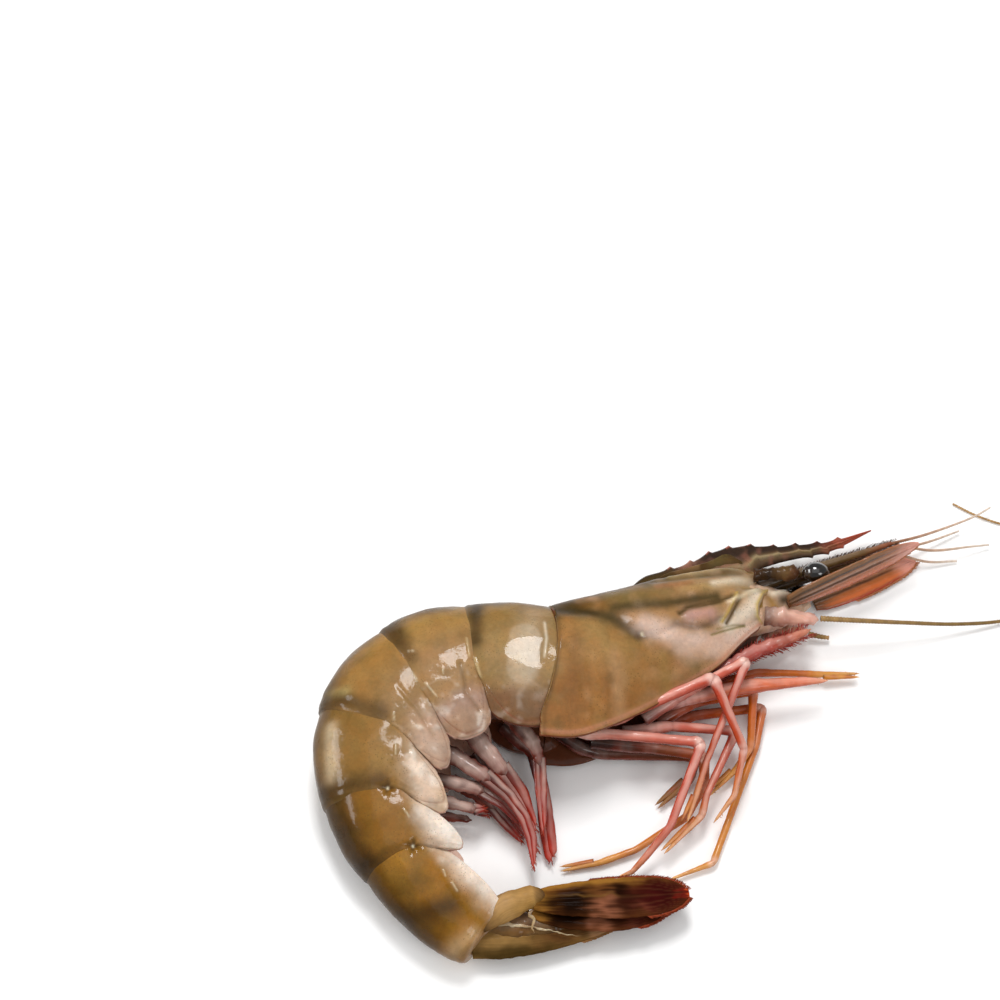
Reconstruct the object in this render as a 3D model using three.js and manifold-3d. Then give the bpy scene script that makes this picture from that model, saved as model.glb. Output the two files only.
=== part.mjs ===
// Raw whole tiger prawn, head and shell on, lying on its left side with the right side up.
// Millimetres, +Z up, head towards +X, back towards +Y. The body's mid-plane is level.
import * as THREE from "three";
import { mergeVertices } from "three/addons/utils/BufferGeometryUtils.js";
import Module from "manifold-3d";

const wasm = await Module();
wasm.setup();

// ---- Driving dimensions: mm and degrees ----
const neck = [-34.3, 8.4, 12]; // where the head shell meets the tail, on the body's axis
const clearance = 0.3; // left between pieces that touch
const rimClearance = 0.6; // the same, where the pieces meet at a slant

// Tail (abdomen): the axis is a chain of arcs through seven hinges, from the neck to the fan.
const hingeHeading = [174, 184, 221, 257, 283, 300, 321]; // which way the axis runs at each hinge
const rimHeading = [180, 185, 207, 243, 274, 293, 326]; // which way the shell's rims face there
const flapHeading = [184, 198, 210, 229, 247, 272, 316]; // and which way its side flaps face
const segmentLength = [15.6, 13.1, 11.4, 13.6, 13, 22];
const hingeBack = [14.6, 14.9, 16.6, 16.6, 13.8, 10.8, 6.4]; // axis to mid-back
const hingeHalfWidth = [12, 11.4, 11, 10.6, 9.7, 8.5, 5.6]; // axis to flank
const hingeHeight = [12, 11.3, 10.9, 10.4, 9.4, 8.2, 6.2]; // axis above the table
const flapDrop = [15.4, 16.6, 16.4, 14.8, 12.2, 8.6]; // axis to the lowest point of each side flap
const bellyDrop = [10.5, 10, 9.5, 9, 8, 6.5]; // axis to the belly skin
const overlap = 0.9; // how far a ring of shell reaches over the next one
const flapWall = 1.5;

// Head (carapace): stations run forward from the neck along a line that points up and sinks.
const headHeading = 21.6;
const headSink = 0.105; // drop of the axis for each mm forward
const headRearBow = 1.7; // how far the rear edge swings forward on the flank
const headFront = 51;
const headBack = [[0, 14.6], [15, 13.2], [30, 12.1], [41, 10.2], [47, 7.4], [51, 4.6]];
const headDrop = [[0, 16.2], [6, 18.9], [11, 19.3], [20, 18.2], [28, 16.2], [37, 13.2], [43, 9.8], [51, 6]];
const headHalfWidth = [[0, 12.4], [15, 11.6], [30, 10.3], [41, 8.4], [47, 6.4], [51, 4.2]];
const headBelly = [[0, 9.8], [6, 11.5], [20, 11], [30, 9.6], [41, 6.6], [51, 4]];

// Beak (rostrum): a toothed blade in the mid-plane.
const beakUpper = [[33, 11.2], [38, 12.9], [44, 14.7], [51, 13.3], [60, 10.7], [69, 8.4], [79, 8.3]];
const beakLower = [[33, 6], [52, 6.6], [60, 6.1], [68, 5.4], [79, 8.3]];
const beakThickness = [[33, 3.4], [48, 2.2], [60, 1.5], [79, 0.7]];
const upperTeeth = { count: 7, first: 41, last: 71, height: 0.8 };
const lowerTeeth = { count: 3, first: 60, last: 71, height: 0.7 };

// ---- Small helpers ----
const radians = THREE.MathUtils.degToRad;
const point = (x, y, z) => new THREE.Vector3(x, y, z);
const heading = (degrees) => point(Math.cos(radians(degrees)), Math.sin(radians(degrees)), 0);
const mix = THREE.MathUtils.lerp;
const up = point(0, 0, 1);

/** A smooth curve through [x, value] pairs, level past its ends. */
function profile(pairs, x) {
  const last = pairs.length - 1;
  if (x <= pairs[0][0]) return pairs[0][1];
  if (x >= pairs[last][0]) return pairs[last][1];
  const k = pairs.findIndex(([at]) => at > x) - 1;
  const slope = (i) => {
    const from = pairs[Math.max(i - 1, 0)];
    const to = pairs[Math.min(i + 1, last)];
    return (to[1] - from[1]) / (to[0] - from[0]);
  };
  const span = pairs[k + 1][0] - pairs[k][0];
  const t = (x - pairs[k][0]) / span;
  const bend = (1 - t) * slope(k) * span - t * slope(k + 1) * span;
  const rise = pairs[k + 1][1] - pairs[k][1];
  return pairs[k][1] + rise * t + t * (1 - t) * (bend - (1 - 2 * t) * rise);
}

/** Closed geometry from rings of points, with a fan over each end. */
function loft(rings) {
  const sides = rings[0].length;
  const corners = rings.flat();
  const faces = [];
  for (let r = 0; r + 1 < rings.length; r++) {
    for (let s = 0; s < sides; s++) {
      const a = r * sides + s;
      const b = r * sides + ((s + 1) % sides);
      faces.push(a, b, a + sides, b, b + sides, a + sides);
    }
  }
  [rings[0], rings.at(-1)].forEach((ring, end) => {
    const middle = ring.reduce((sum, p) => sum.add(p), point(0, 0, 0)).divideScalar(sides);
    const start = end * (rings.length - 1) * sides;
    const hub = corners.push(middle) - 1;
    for (let s = 0; s < sides; s++) {
      const edge = [start + s, start + ((s + 1) % sides)];
      faces.push(hub, edge[1 - end], edge[end]);
    }
  });
  return new THREE.BufferGeometry().setFromPoints(corners).setIndex(faces);
}

/** A three.js geometry as a manifold-3d solid with its faces outwards. */
function solid(geometry) {
  const bare = geometry.clone();
  bare.deleteAttribute("normal");
  bare.deleteAttribute("uv");
  const merged = mergeVertices(bare, 1e-4);
  const mesh = (triVerts) =>
    new wasm.Mesh({ numProp: 3, vertProperties: merged.attributes.position.array, triVerts });
  const made = new wasm.Manifold(mesh(new Uint32Array(merged.index.array)));
  if (made.volume() > 0) return made;
  return new wasm.Manifold(mesh(new Uint32Array(merged.index.array).reverse()));
}

/** The largest body of a solid, without loose scraps. */
function largest(made) {
  return made.decompose().reduce((best, body) => (body.volume() > best.volume() ? body : best));
}

/** Evenly spaced numbers from first to last, both included. */
function steps(first, last, count) {
  return Array.from({ length: count + 1 }, (_, k) => mix(first, last, k / count));
}

// ---- Body shell: one cross-section, from mid-back down the right side and back up the left ----
const backSides = 6;
const flankSides = 3;

/** A closed ring at a station; grow makes it that much fatter all round. */
function shellRing(station, grow = 0) {
  const { centre, rim, flap, high, wide, drop, belly, bow = () => 0 } = station;
  const edge = wide * 0.72 + grow;
  const half = steps(0, Math.PI / 2, backSides).map((q) => [
    (high + grow) * Math.cos(q),
    (wide + grow) * Math.sin(q),
  ]);
  steps(0, 1, flankSides)
    .slice(1)
    .forEach((v) => half.push([-(drop + grow) * v, mix(wide + grow, edge, v ** 1.7)]));
  half.push([-(drop + grow), edge - flapWall - 2 * grow]);
  half.push([-(belly + grow) * 0.92, edge - flapWall * 1.4 - 2 * grow]);
  half.push([-(belly + grow) * 1.04, 0]);
  const mirrored = half.slice(1, -1).reverse();
  return [...half, ...mirrored.map(([u, w]) => [u, -w])].map(([u, w]) => {
    const turned = THREE.MathUtils.smoothstep(-u, 0, drop * 0.7);
    const p = centre.clone().addScaledVector(heading(mix(rim, flap, turned) - 90), u);
    p.addScaledVector(heading(headHeading), bow(u));
    return p.setZ(Math.max(p.z + w, 0));
  });
}

/** Station t (0 to 1 from hinge to hinge) of a tail segment, counted from 0. */
function tailStation(index, t) {
  const [from, to] = [hingeHeading[index], hingeHeading[index + 1]];
  const bend = radians(to - from) / segmentLength[index];
  const place = hinge(index);
  const now = mix(from, to, t);
  place.x += (Math.sin(radians(now)) - Math.sin(radians(from))) / bend;
  place.y -= (Math.cos(radians(now)) - Math.cos(radians(from))) / bend;
  const at = (values) => mix(values[index], values[index + 1], t);
  place.z = at(hingeHeight);
  return { centre: place, rim: at(rimHeading), flap: at(flapHeading), at };
}

/** Hinge on the axis: 0 at the neck, 6 at the tail fan. */
function hinge(index) {
  if (index === 0) return point(...neck);
  return tailStation(index - 1, 1).centre;
}

/** One ring of tail shell with the flesh inside it. */
function segment(index, grow = 0) {
  const lap = overlap / segmentLength[index];
  const last = index === segmentLength.length - 1;
  const start = index === 0 ? -0.16 : 0.02 - lap * 0.4;
  const end = last ? 1 : 1 + lap;
  const margin = grow / segmentLength[index];
  const rings = steps(start - margin, end + margin, last ? 9 : 8).map((t) => {
    const station = tailStation(index, t);
    const along = THREE.MathUtils.clamp((t - start) / (end - start), 0, 1);
    const round = (1 - Math.abs(2 * along - 1) ** 2.4) ** 0.55;
    const tuck = mix(0.965, 1, along); // the front edge is narrower, under the ring before it
    const sizes = {
      high: station.at(hingeBack) * tuck,
      wide: station.at(hingeHalfWidth) * tuck,
      drop: mix(bellyDrop[index] * 0.96, flapDrop[index], round),
      belly: bellyDrop[index] * 0.94,
    };
    return shellRing({ ...station, ...sizes }, grow);
  });
  return solid(loft(rings));
}

// ---- Head ----
/** A point of the head: x forward along its axis, u towards the back, w to the right side. */
function headPoint(x, u, w) {
  const forward = heading(headHeading);
  const back = heading(headHeading + 90);
  const place = point(...neck).addScaledVector(forward, x).addScaledVector(back, u);
  return place.setZ(Math.max(neck[2] - headSink * x + w, 0));
}

function carapaceShell(grow = 0) {
  const rings = steps(-grow, headFront + grow, 13).map((x) => {
    const along = THREE.MathUtils.clamp(x, 0, headFront);
    const facing = mix(180, 185, along / headFront);
    const swing = headRearBow * Math.max(1 - along / 12, 0);
    const station = {
      centre: headPoint(x, 0, 0),
      bow: (u) => swing * Math.max(1 - ((u - 3) / 10) ** 2, -1.3),
      rim: facing,
      flap: facing,
      high: profile(headBack, along),
      wide: profile(headHalfWidth, along),
      drop: profile(headDrop, along),
      belly: profile(headBelly, along),
    };
    return shellRing(station, grow);
  });
  return solid(loft(rings));
}

/** Teeth along an edge: each leans forward to a point, then drops back to the edge. */
function toothedEdge(edge, teeth, side) {
  const pitch = (teeth.last - teeth.first) / teeth.count;
  const points = [];
  for (let k = 0; k < teeth.count; k++) {
    const x = teeth.first + k * pitch;
    points.push([x, profile(edge, x)]);
    points.push([x + pitch * 0.8, profile(edge, x + pitch * 0.8) + side * teeth.height]);
  }
  points.push([teeth.last, profile(edge, teeth.last)]);
  return points;
}

function rostrum() {
  const [tail, tip] = [beakUpper[0][0], beakUpper.at(-1)[0]];
  const upper = [[tail, beakUpper[0][1]], ...toothedEdge(beakUpper, upperTeeth, 1)];
  const lower = [[52, profile(beakLower, 52)], ...toothedEdge(beakLower, lowerTeeth, -1)];
  const outline = [...upper, [tip, beakUpper.at(-1)[1]], ...lower.reverse(), [tail, beakLower[0][1]]];
  const shape = new THREE.Shape(outline.map(([x, u]) => new THREE.Vector2(x, u)));
  const blade = new THREE.ExtrudeGeometry(shape, { depth: 1, bevelEnabled: false });
  const corners = blade.getAttribute("position");
  for (let k = 0; k < corners.count; k++) {
    const x = corners.getX(k);
    const place = headPoint(x, corners.getY(k), (corners.getZ(k) - 0.5) * profile(beakThickness, x));
    corners.setXYZ(k, place.x, place.y, place.z);
  }
  return solid(blade);
}

// ---- Limbs, blades and threads ----
/** A ring of points round a place, across a direction; flat squeezes it along the upright. */
function crossRing(place, direction, radius, sides, flat = 1, roll = 0) {
  const side = up.clone().cross(direction).normalize();
  const top = direction.clone().cross(side).normalize();
  return Array.from({ length: sides }, (_, k) => {
    const q = (2 * Math.PI * k) / sides;
    const w = radius * Math.cos(q);
    const h = radius * flat * Math.sin(q);
    const c = Math.cos(radians(roll));
    const s = Math.sin(radians(roll));
    return place
      .clone()
      .addScaledVector(side, w * c - h * s)
      .addScaledVector(top, w * s + h * c);
  });
}

/** The joints of a limb: a root point, then one [heading, length, end height] for each piece. */
function joints(root, pieces) {
  const places = [point(...neck).add(point(root[0], root[1], 0)).setZ(root[2])];
  for (const [degrees, length, height] of pieces) {
    const next = places.at(-1).clone().addScaledVector(heading(degrees), length);
    places.push(next.setZ(height));
  }
  return places;
}

/** A jointed limb: straight pieces between its joints, with a knee at each. */
function limb(places, radii, { sides = 6, flat = 1, roll = 0, grow = 0 } = {}) {
  const rings = [];
  places.forEach((place, k) => {
    const before = k > 0 ? place.clone().sub(places[k - 1]) : null;
    const after = k + 1 < places.length ? places[k + 1].clone().sub(place) : null;
    const radius = radii[k] + grow;
    const turn = before && after ? before.angleTo(after) : 0;
    const inset = radius * Math.max(Math.tan(turn / 2), 0.3);
    if (before) {
      const back = after ? Math.min(inset, before.length() * 0.4) : -grow;
      const at = place.clone().addScaledVector(before.clone().normalize(), -back);
      rings.push(crossRing(at, before, radius, sides, flat, roll));
    }
    if (after) {
      const on = before ? Math.min(inset, after.length() * 0.4) : -grow;
      const at = place.clone().addScaledVector(after.clone().normalize(), on);
      rings.push(crossRing(at, after, radius, sides, flat, roll));
    }
  });
  return solid(loft(rings));
}

/** A smooth tube through places, its radius given by a profile from 0 to 1. */
function thread(places, thickness, { sides = 6, count = 20, flat = 1, roll = 0 } = {}) {
  const curve = new THREE.CatmullRomCurve3(places, false, "centripetal");
  const rings = steps(0, 1, count).map((t) =>
    crossRing(curve.getPointAt(t), curve.getTangentAt(t), profile(thickness, t), sides, flat, roll),
  );
  return solid(loft(rings));
}

/** A leaf-like blade along a limb's places: widths is its half width from root to tip. */
function blade(places, widths, thickness, { roll = 0, count = 10, grow = 0 } = {}) {
  const curve = new THREE.CatmullRomCurve3(places, false, "centripetal");
  const rings = steps(0, 1, count).map((t) => {
    const wide = profile(widths, t) + grow;
    const flat = (profile(thickness, t) / 2 + grow) / wide;
    return crossRing(curve.getPointAt(t), curve.getTangentAt(t), wide, 8, flat, roll);
  });
  return solid(loft(rings));
}

// ---- Walking legs, back pair (5) to front pair (1) ----
// root: mm from the neck, and its height; pieces: [heading, length, height of the far end].
const legs = {
  leg_right_5: {
    root: [2.3, -10.1, 15.5],
    pieces: [[308, 3.7, 14.5], [336, 3, 13.6], [2, 5.6, 13], [355, 19, 12.5], [248, 18, 7.4], [228, 7.2, 4.6],
      [225, 4.4, 3], [195, 3.4, 1.8]],
    radii: [1.3, 1.2, 1.25, 1.15, 1.2, 0.95, 0.85, 0.6, 0.25],
  },
  leg_right_4: {
    root: [9.6, -11.9, 14.5],
    pieces: [[6, 5.2, 15.4], [24, 3.2, 16.1], [23, 18, 17.3], [295, 15.1, 11.5], [257, 9, 7.2],
      [230, 6.8, 4.6]],
    radii: [1.5, 1.4, 1.15, 1.15, 0.9, 0.7, 0.25],
  },
  leg_right_3: {
    root: [17.3, -12.4, 10.2],
    pieces: [[13, 5, 9.4], [9, 3.7, 8.8], [358, 13.6, 7.2], [245, 15.4, 6.6], [256, 4.4, 5.8],
      [225, 11.3, 4.6]],
    radii: [1.5, 1.3, 1.1, 1, 0.85, 0.9, 0.3],
    claw: 0.45,
  },
  leg_right_2: {
    root: [21.5, -9.6, 12.9],
    pieces: [[34, 6.1, 13.4], [28, 4.3, 13.9], [27, 12.5, 15.6], [247, 21.9, 9.6], [252, 6.9, 8.4],
      [251, 6.7, 7.4]],
    radii: [1.4, 1.3, 1.05, 1, 0.8, 0.8, 0.3],
    claw: 0.6,
  },
  leg_right_1: {
    root: [25, -6.6, 10.6],
    pieces: [[18, 3.6, 10.6], [18, 2.9, 10.6], [13, 10.9, 9.8], [7, 12.2, 9], [5, 5.2, 8.4]],
    radii: [1.4, 1.3, 1.5, 1.6, 1.1, 0.4],
  },
  leg_left_5: {
    root: [2.8, -12.2, 7],
    pieces: [[331, 4.3, 5.4], [350, 4.5, 4], [0, 20.3, 3], [253, 5.3, 2.2], [222, 9.2, 1.4]],
    radii: [1.5, 1.4, 1.3, 1.2, 1.1, 0.3],
    claw: 0.45,
  },
  leg_left_4: {
    root: [19.3, -10.9, 5.1],
    pieces: [[24, 7, 4], [19, 6.1, 3.3], [8, 14.2, 2.7], [259, 8.5, 2.4], [249.5, 27.7, 1.6],
      [201, 10.1, 1.2]],
    radii: [1.4, 1.3, 1.1, 1, 0.95, 0.8, 0.25],
  },
  leg_left_3: {
    root: [10.8, -14, 7.5],
    pieces: [[355, 5.3, 7], [357, 5.3, 6.6], [353, 11.4, 5.8], [270, 5.9, 3.6], [239, 7.6, 2.4],
      [213, 12.7, 1.5], [200, 8.2, 1.3], [192, 8.2, 1]],
    radii: [1.4, 1.3, 1.2, 1.1, 1.1, 1, 0.85, 0.8, 0.25],
    claw: 0.5,
  },
  leg_left_2: {
    root: [24.5, -8.5, 7.6],
    pieces: [[32, 3.8, 7.6], [28, 3.7, 7.3], [14, 12.8, 6.6], [266, 12.1, 4.4], [235, 5.2, 2.8],
      [223, 8.5, 1.3]],
    radii: [1.4, 1.3, 1.1, 1, 0.9, 0.85, 0.25],
    claw: 0.5,
  },
  leg_left_1: {
    root: [25.3, -5.5, 4.9],
    pieces: [[30, 6.7, 4.9], [32, 4.3, 4.8], [18, 10.2, 4.2], [1, 10.3, 3.2], [359, 2.8, 2.8], [3, 9, 2.2]],
    radii: [1.3, 1.2, 1, 0.9, 0.8, 0.85, 0.25],
    claw: 0.4,
  },
};

/** A leg; on a clawed one a second finger lies beside the last piece, claw apart at its tip. */
function leg({ root, pieces, radii, claw }) {
  const places = joints(root, pieces);
  const main = limb(places, radii);
  if (!claw) return main;
  const [wrist, tip] = places.slice(-2);
  const thick = radii.at(-2) * 0.8;
  const aside = tip.clone().sub(wrist).cross(up).normalize();
  const start = wrist.clone().lerp(tip, 0.12).addScaledVector(aside, thick * 0.8);
  const end = tip.clone().addScaledVector(aside, claw * 2);
  return largest(main.add(limb([start, end], [thick, 0.25])));
}

// ---- Swimming legs under the tail: a stout stalk and one long paddle each ----
const paddles = {
  paddle_right_1: {
    root: [-8.3, -9.6, 12.5],
    pieces: [[310, 7.4, 12], [293, 3.7, 11.5], [274, 6.6, 9.5], [273, 8.7, 7.5]],
    radii: [2.1, 1.8, 1.3, 1.2, 0.5],
  },
  paddle_right_2: {
    root: [-15.2, -14.7, 12.5],
    pieces: [[309, 8, 11.5], [310, 6.5, 9], [296, 8, 6.5]],
    radii: [2.4, 2, 1.7, 0.6],
  },
  paddle_right_3: {
    root: [-18.5, -19.6, 12.5],
    pieces: [[325, 6.1, 12.5], [323, 6, 11], [309, 5.5, 9.5], [290, 4.3, 8], [276, 6.3, 6.5]],
    radii: [2, 1.7, 1.3, 1.2, 1.1, 0.35],
  },
  paddle_right_4: {
    root: [-20, -24.1, 11],
    pieces: [[350, 5.3, 10.2], [334, 5.8, 7.6], [314, 5.4, 5.6]],
    radii: [1.7, 1.5, 1.1, 0.5],
  },
  paddle_right_5: {
    root: [-19.7, -28.2, 9.5],
    pieces: [[350, 4, 8.4], [10, 2.6, 7.6]],
    radii: [1.5, 1.3, 0.7],
  },
  paddle_left_1: {
    root: [-6.7, -12.2, 5.3],
    pieces: [[316, 5.2, 5], [283, 6.2, 4.5], [277, 9.6, 3.2], [278, 6.9, 2]],
    radii: [1.7, 1.4, 1.3, 1.6, 1.3],
  },
  paddle_left_2: {
    root: [-13.2, -19, 5.5],
    pieces: [[306, 7.2, 5], [299, 5.9, 4], [303, 7.2, 2.4]],
    radii: [1.7, 1.5, 1.4, 0.6],
  },
  paddle_left_3: {
    root: [-16.9, -23.5, 5.3],
    pieces: [[330, 5.2, 4.2], [313, 6.1, 2.6], [312, 4.1, 1.4]],
    radii: [1.5, 1.4, 1.2, 0.6],
  },
  paddle_left_4: {
    root: [-19.4, -26.4, 4.5],
    pieces: [[350, 5, 3.2], [341, 2.2, 2]],
    radii: [1.4, 1.2, 0.7],
  },
  paddle_left_5: {
    root: [-20.6, -29.3, 4.5],
    pieces: [[355, 4.6, 3.8]],
    radii: [1.3, 0.8],
  },
};

function paddle({ root, pieces, radii }) {
  return limb(joints(root, pieces), radii, { flat: 0.85 });
}

// ---- Head limbs ----
// A stalk or thread: root and pieces as on a leg; radii along its length.
const stalks = {
  eyestalk_right: { root: [44, 22.8, 11.4], pieces: [[1, 9.8, 12.6]], radii: [1.4, 1.7] },
  eyestalk_left: { root: [41, 20.6, 3.8], pieces: [[10, 10.6, 2.4]], radii: [1.1, 1.2] },
  antenna_base_right: {
    root: [46, 14, 10],
    pieces: [[356, 7, 9.8], [357, 4.6, 9.6]],
    radii: [2.4, 2.1, 1.5],
  },
  antenna_base_left: { root: [46, 13.6, 3.4], pieces: [[356, 9.6, 2.6]], radii: [2, 1.6] },
  jaw_leg_right: {
    root: [34, -1, 12],
    pieces: [[35, 7, 11.4], [30, 6, 11], [21, 5.8, 10.5], [26, 5.8, 10]],
    radii: [1.4, 1.5, 1.4, 1.2, 0.6],
  },
  jaw_leg_left: {
    root: [34, 0.6, 7.2],
    pieces: [[35, 7, 6.8], [30, 5.5, 6], [22, 7.5, 5]],
    radii: [1.2, 1.2, 1.1, 0.5],
  },
};
const eyes = { eye_right: [57, 22.8, 12.9], eye_left: [54, 22.6, 2.3] };
const eyeSize = [2.9, 2.2, 2.2]; // half length, half height, half width

// Feelers: short banded ones in pairs on a hairy stem, and the long whips.
const feelers = {
  feeler_right: {
    root: [45, 21.2, 8.8],
    stem: [[19, 14, 8.9], [20, 10, 8.4], [23, 8, 7.4]],
    stemRadii: [1.3, 1.3, 1.2, 0.6],
    threads: [[[20, 8, 6], [26, 12.3, 3.4], [34, 5, 2.4]], [[358, 9, 4.6], [12, 9, 2.4], [12, 4.3, 1.4]]],
  },
  feeler_left: {
    root: [45, 20.8, 6],
    stem: [[19, 14, 6], [20, 10, 5.4], [23, 8, 4.4]],
    stemRadii: [1.1, 1.1, 1, 0.5],
    threads: [[[20, 9, 2.2], [24, 8, 1]], [[350, 8, 2], [5, 7, 0.8]]],
  },
};
const whips = {
  whip_right: {
    root: [58, 13.5, 9.6],
    pieces: [[0, 6, 8.8], [2, 12, 6.4], [5, 12.6, 3], [10, 11, 0.9], [21, 12, 0.5], [51, 10, 0.5],
      [105, 5, 0.5], [150, 8, 0.5], [168, 10, 0.5], [158, 6, 0.5], [150, 5, 0.5]],
    radius: [[0, 0.62], [0.2, 0.45], [1, 0.22]],
  },
  whip_left: { root: [56, 13, 2.3], pieces: [[350, 2.4, 1.9], [356, 2, 1.5]], radius: [[0, 0.6], [1, 0.45]] },
};

// ---- Blades: antennal scales and the tail fan ----
// widths and thickness run from root (0) to tip (1); roll 90 stands a blade on its edge.
const finWidths = [[0, 2], [0.1, 3], [0.3, 3.9], [0.55, 4.5], [0.8, 4.1], [0.93, 2.7], [1, 0.8]];
const blades = {
  feeler_scale_right: {
    root: [51, 16.7, 11.1],
    pieces: [[25, 15, 11], [27.5, 17, 9.9]],
    widths: [[0, 2], [0.12, 3], [0.45, 3.6], [0.8, 2.6], [0.95, 1.4], [1, 0.5]],
    thickness: [[0, 1.6], [1, 0.6]],
    roll: 100,
  },
  feeler_scale_left: {
    root: [57.5, 20.3, 1.6],
    pieces: [[24, 12.4, 1.5], [26, 12.4, 1.3]],
    widths: [[0, 1.6], [0.12, 2.6], [0.45, 3.2], [0.8, 2.4], [0.95, 1.4], [1, 0.5]],
    thickness: [[0, 1.2], [1, 0.6]],
    roll: 12,
  },
  fin_outer_right: {
    root: [-3.4, -48.8, 8.5],
    pieces: [[2, 10, 8.4], [3, 11, 7.8], [6, 11.2, 6.8]],
    widths: finWidths,
    thickness: [[0, 2], [0.2, 1.2], [1, 0.6]],
    roll: -5,
  },
  fin_inner_right: {
    root: [-3.6, -50, 6.6],
    pieces: [[356, 9, 6.5], [4, 10, 6], [14, 10, 5]],
    widths: finWidths,
    thickness: [[0, 1.4], [0.2, 1], [1, 0.6]],
    roll: -5,
  },
  fin_inner_left: {
    root: [-3.6, -48.6, 2],
    pieces: [[358, 9, 2], [5, 10, 2], [12, 9.6, 1.9]],
    widths: finWidths,
    thickness: [[0, 1.2], [0.2, 0.9], [1, 0.6]],
    roll: 0,
  },
  fin_outer_left: {
    root: [-3.4, -47.4, 0.8],
    pieces: [[1, 10, 0.8], [4, 11, 0.8], [8, 10.2, 0.8]],
    widths: finWidths,
    thickness: [[0, 0.8], [1, 0.6]],
    roll: 0,
  },
  tail_spike: {
    root: [-16, -56.6, 4.6],
    pieces: [[5, 13, 4.5], [10, 12.6, 4.2], [14, 6, 3.8]],
    widths: [[0, 3.4], [0.2, 3.8], [0.5, 3.2], [0.8, 1.9], [0.95, 0.8], [1, 0.4]],
    thickness: [[0, 3.8], [0.4, 2.6], [1, 0.8]],
    roll: 0,
  },
};
const finBases = {
  fin_base_right: {
    root: [-14.6, -53.6, 8.2],
    pieces: [[32, 5.5, 8.7], [25, 6.4, 8.6]],
    radii: [2.4, 2.7, 2.3],
  },
  fin_base_left: {
    root: [-14.6, -53.8, 3.2],
    pieces: [[32, 5.5, 2.3], [22, 6.2, 1.9]],
    radii: [1.9, 1.8, 1.6],
  },
};

function eye([x, y, z], grow = 0) {
  const ball = new THREE.SphereGeometry(1, 14, 10);
  ball.scale(...eyeSize.map((size) => size + grow));
  const place = joints([x, y, z], [])[0];
  ball.translate(place.x, place.y, place.z);
  return solid(ball);
}

function feeler({ root, stem, stemRadii, threads }) {
  const stemPlaces = joints(root, stem);
  const end = stemPlaces.at(-1).clone().lerp(stemPlaces.at(-2), 0.12);
  return threads.reduce((made, pieces) => {
    const places = [end.clone()];
    for (const [degrees, length, height] of pieces) {
      places.push(places.at(-1).clone().addScaledVector(heading(degrees), length).setZ(height));
    }
    return made.add(thread(places, [[0, 0.34], [1, 0.22]], { sides: 5, count: 12 }));
  }, limb(stemPlaces, stemRadii));
}

// ---- Assembly ----
const looks = {
  shell: { color: "#8b7a58", roughness: 0.35 },
  head: { color: "#8f7450", roughness: 0.35 },
  leg: { color: "#d98f7c", roughness: 0.4 },
  paddle: { color: "#a4473c", roughness: 0.35 },
  fin: { color: "#4a3024", roughness: 0.35 },
  eye: { color: "#15120f", roughness: 0.15 },
  stalk: { color: "#3a2a20", roughness: 0.4 },
  scale: { color: "#8a5a40", roughness: 0.4 },
  whip: { color: "#7d6238", roughness: 0.45 },
};

const prawn = new THREE.Group();
prawn.name = "tiger_prawn";

function addPiece(name, made, look) {
  const { vertProperties, triVerts } = made.getMesh();
  const geometry = new THREE.BufferGeometry()
    .setAttribute("position", new THREE.BufferAttribute(new Float32Array(vertProperties), 3))
    .setIndex(new THREE.BufferAttribute(new Uint32Array(triVerts), 1));
  geometry.computeVertexNormals();
  const mesh = new THREE.Mesh(geometry, new THREE.MeshStandardMaterial({ ...look, metalness: 0 }));
  mesh.name = name;
  prawn.add(mesh);
}

addPiece("carapace", largest(carapaceShell().add(rostrum())), looks.head);

// Each ring of the tail is cut back to leave room for the one in front, which reaches over it.
const bodyRoom = [carapaceShell(rimClearance)];
segmentLength.forEach((_, index) => {
  addPiece(`abdomen_${index + 1}`, largest(segment(index).subtract(bodyRoom.at(-1))), looks.shell);
  bodyRoom.push(segment(index, rimClearance));
});
const wholeBody = bodyRoom.reduce((sum, part) => sum.add(part));
const offBody = (made) => largest(made.subtract(wholeBody));

for (const [name, spec] of Object.entries(legs)) addPiece(name, offBody(leg(spec)), looks.leg);
for (const [name, spec] of Object.entries(paddles)) addPiece(name, offBody(paddle(spec)), looks.paddle);

for (const [name, { root, pieces, radii }] of Object.entries(stalks)) {
  const stalk = offBody(limb(joints(root, pieces), radii));
  const side = name.split("_").at(-1);
  const look = name.startsWith("eyestalk") ? looks.stalk : looks.leg;
  addPiece(name, stalk.subtract(eye(eyes[`eye_${side}`], clearance)), look);
}
for (const [name, place] of Object.entries(eyes)) addPiece(name, eye(place), looks.eye);
for (const [name, spec] of Object.entries(feelers)) addPiece(name, offBody(feeler(spec)), looks.scale);
for (const [name, { root, pieces, radius }] of Object.entries(whips)) {
  addPiece(name, thread(joints(root, pieces), radius, { count: pieces.length * 3 }), looks.whip);
}

const finBaseRoom = [];
for (const [name, { root, pieces, radii }] of Object.entries(finBases)) {
  addPiece(name, offBody(limb(joints(root, pieces), radii, { sides: 8 })), looks.fin);
  finBaseRoom.push(limb(joints(root, pieces), radii, { sides: 8, grow: clearance }));
}
for (const [name, { root, pieces, widths, thickness, roll }] of Object.entries(blades)) {
  const made = blade(joints(root, pieces), widths, thickness, { roll });
  const clear = finBaseRoom.reduce((left, room) => left.subtract(room), made);
  addPiece(name, offBody(clear), name.startsWith("feeler") ? looks.scale : looks.fin);
}

export default prawn;
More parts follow.
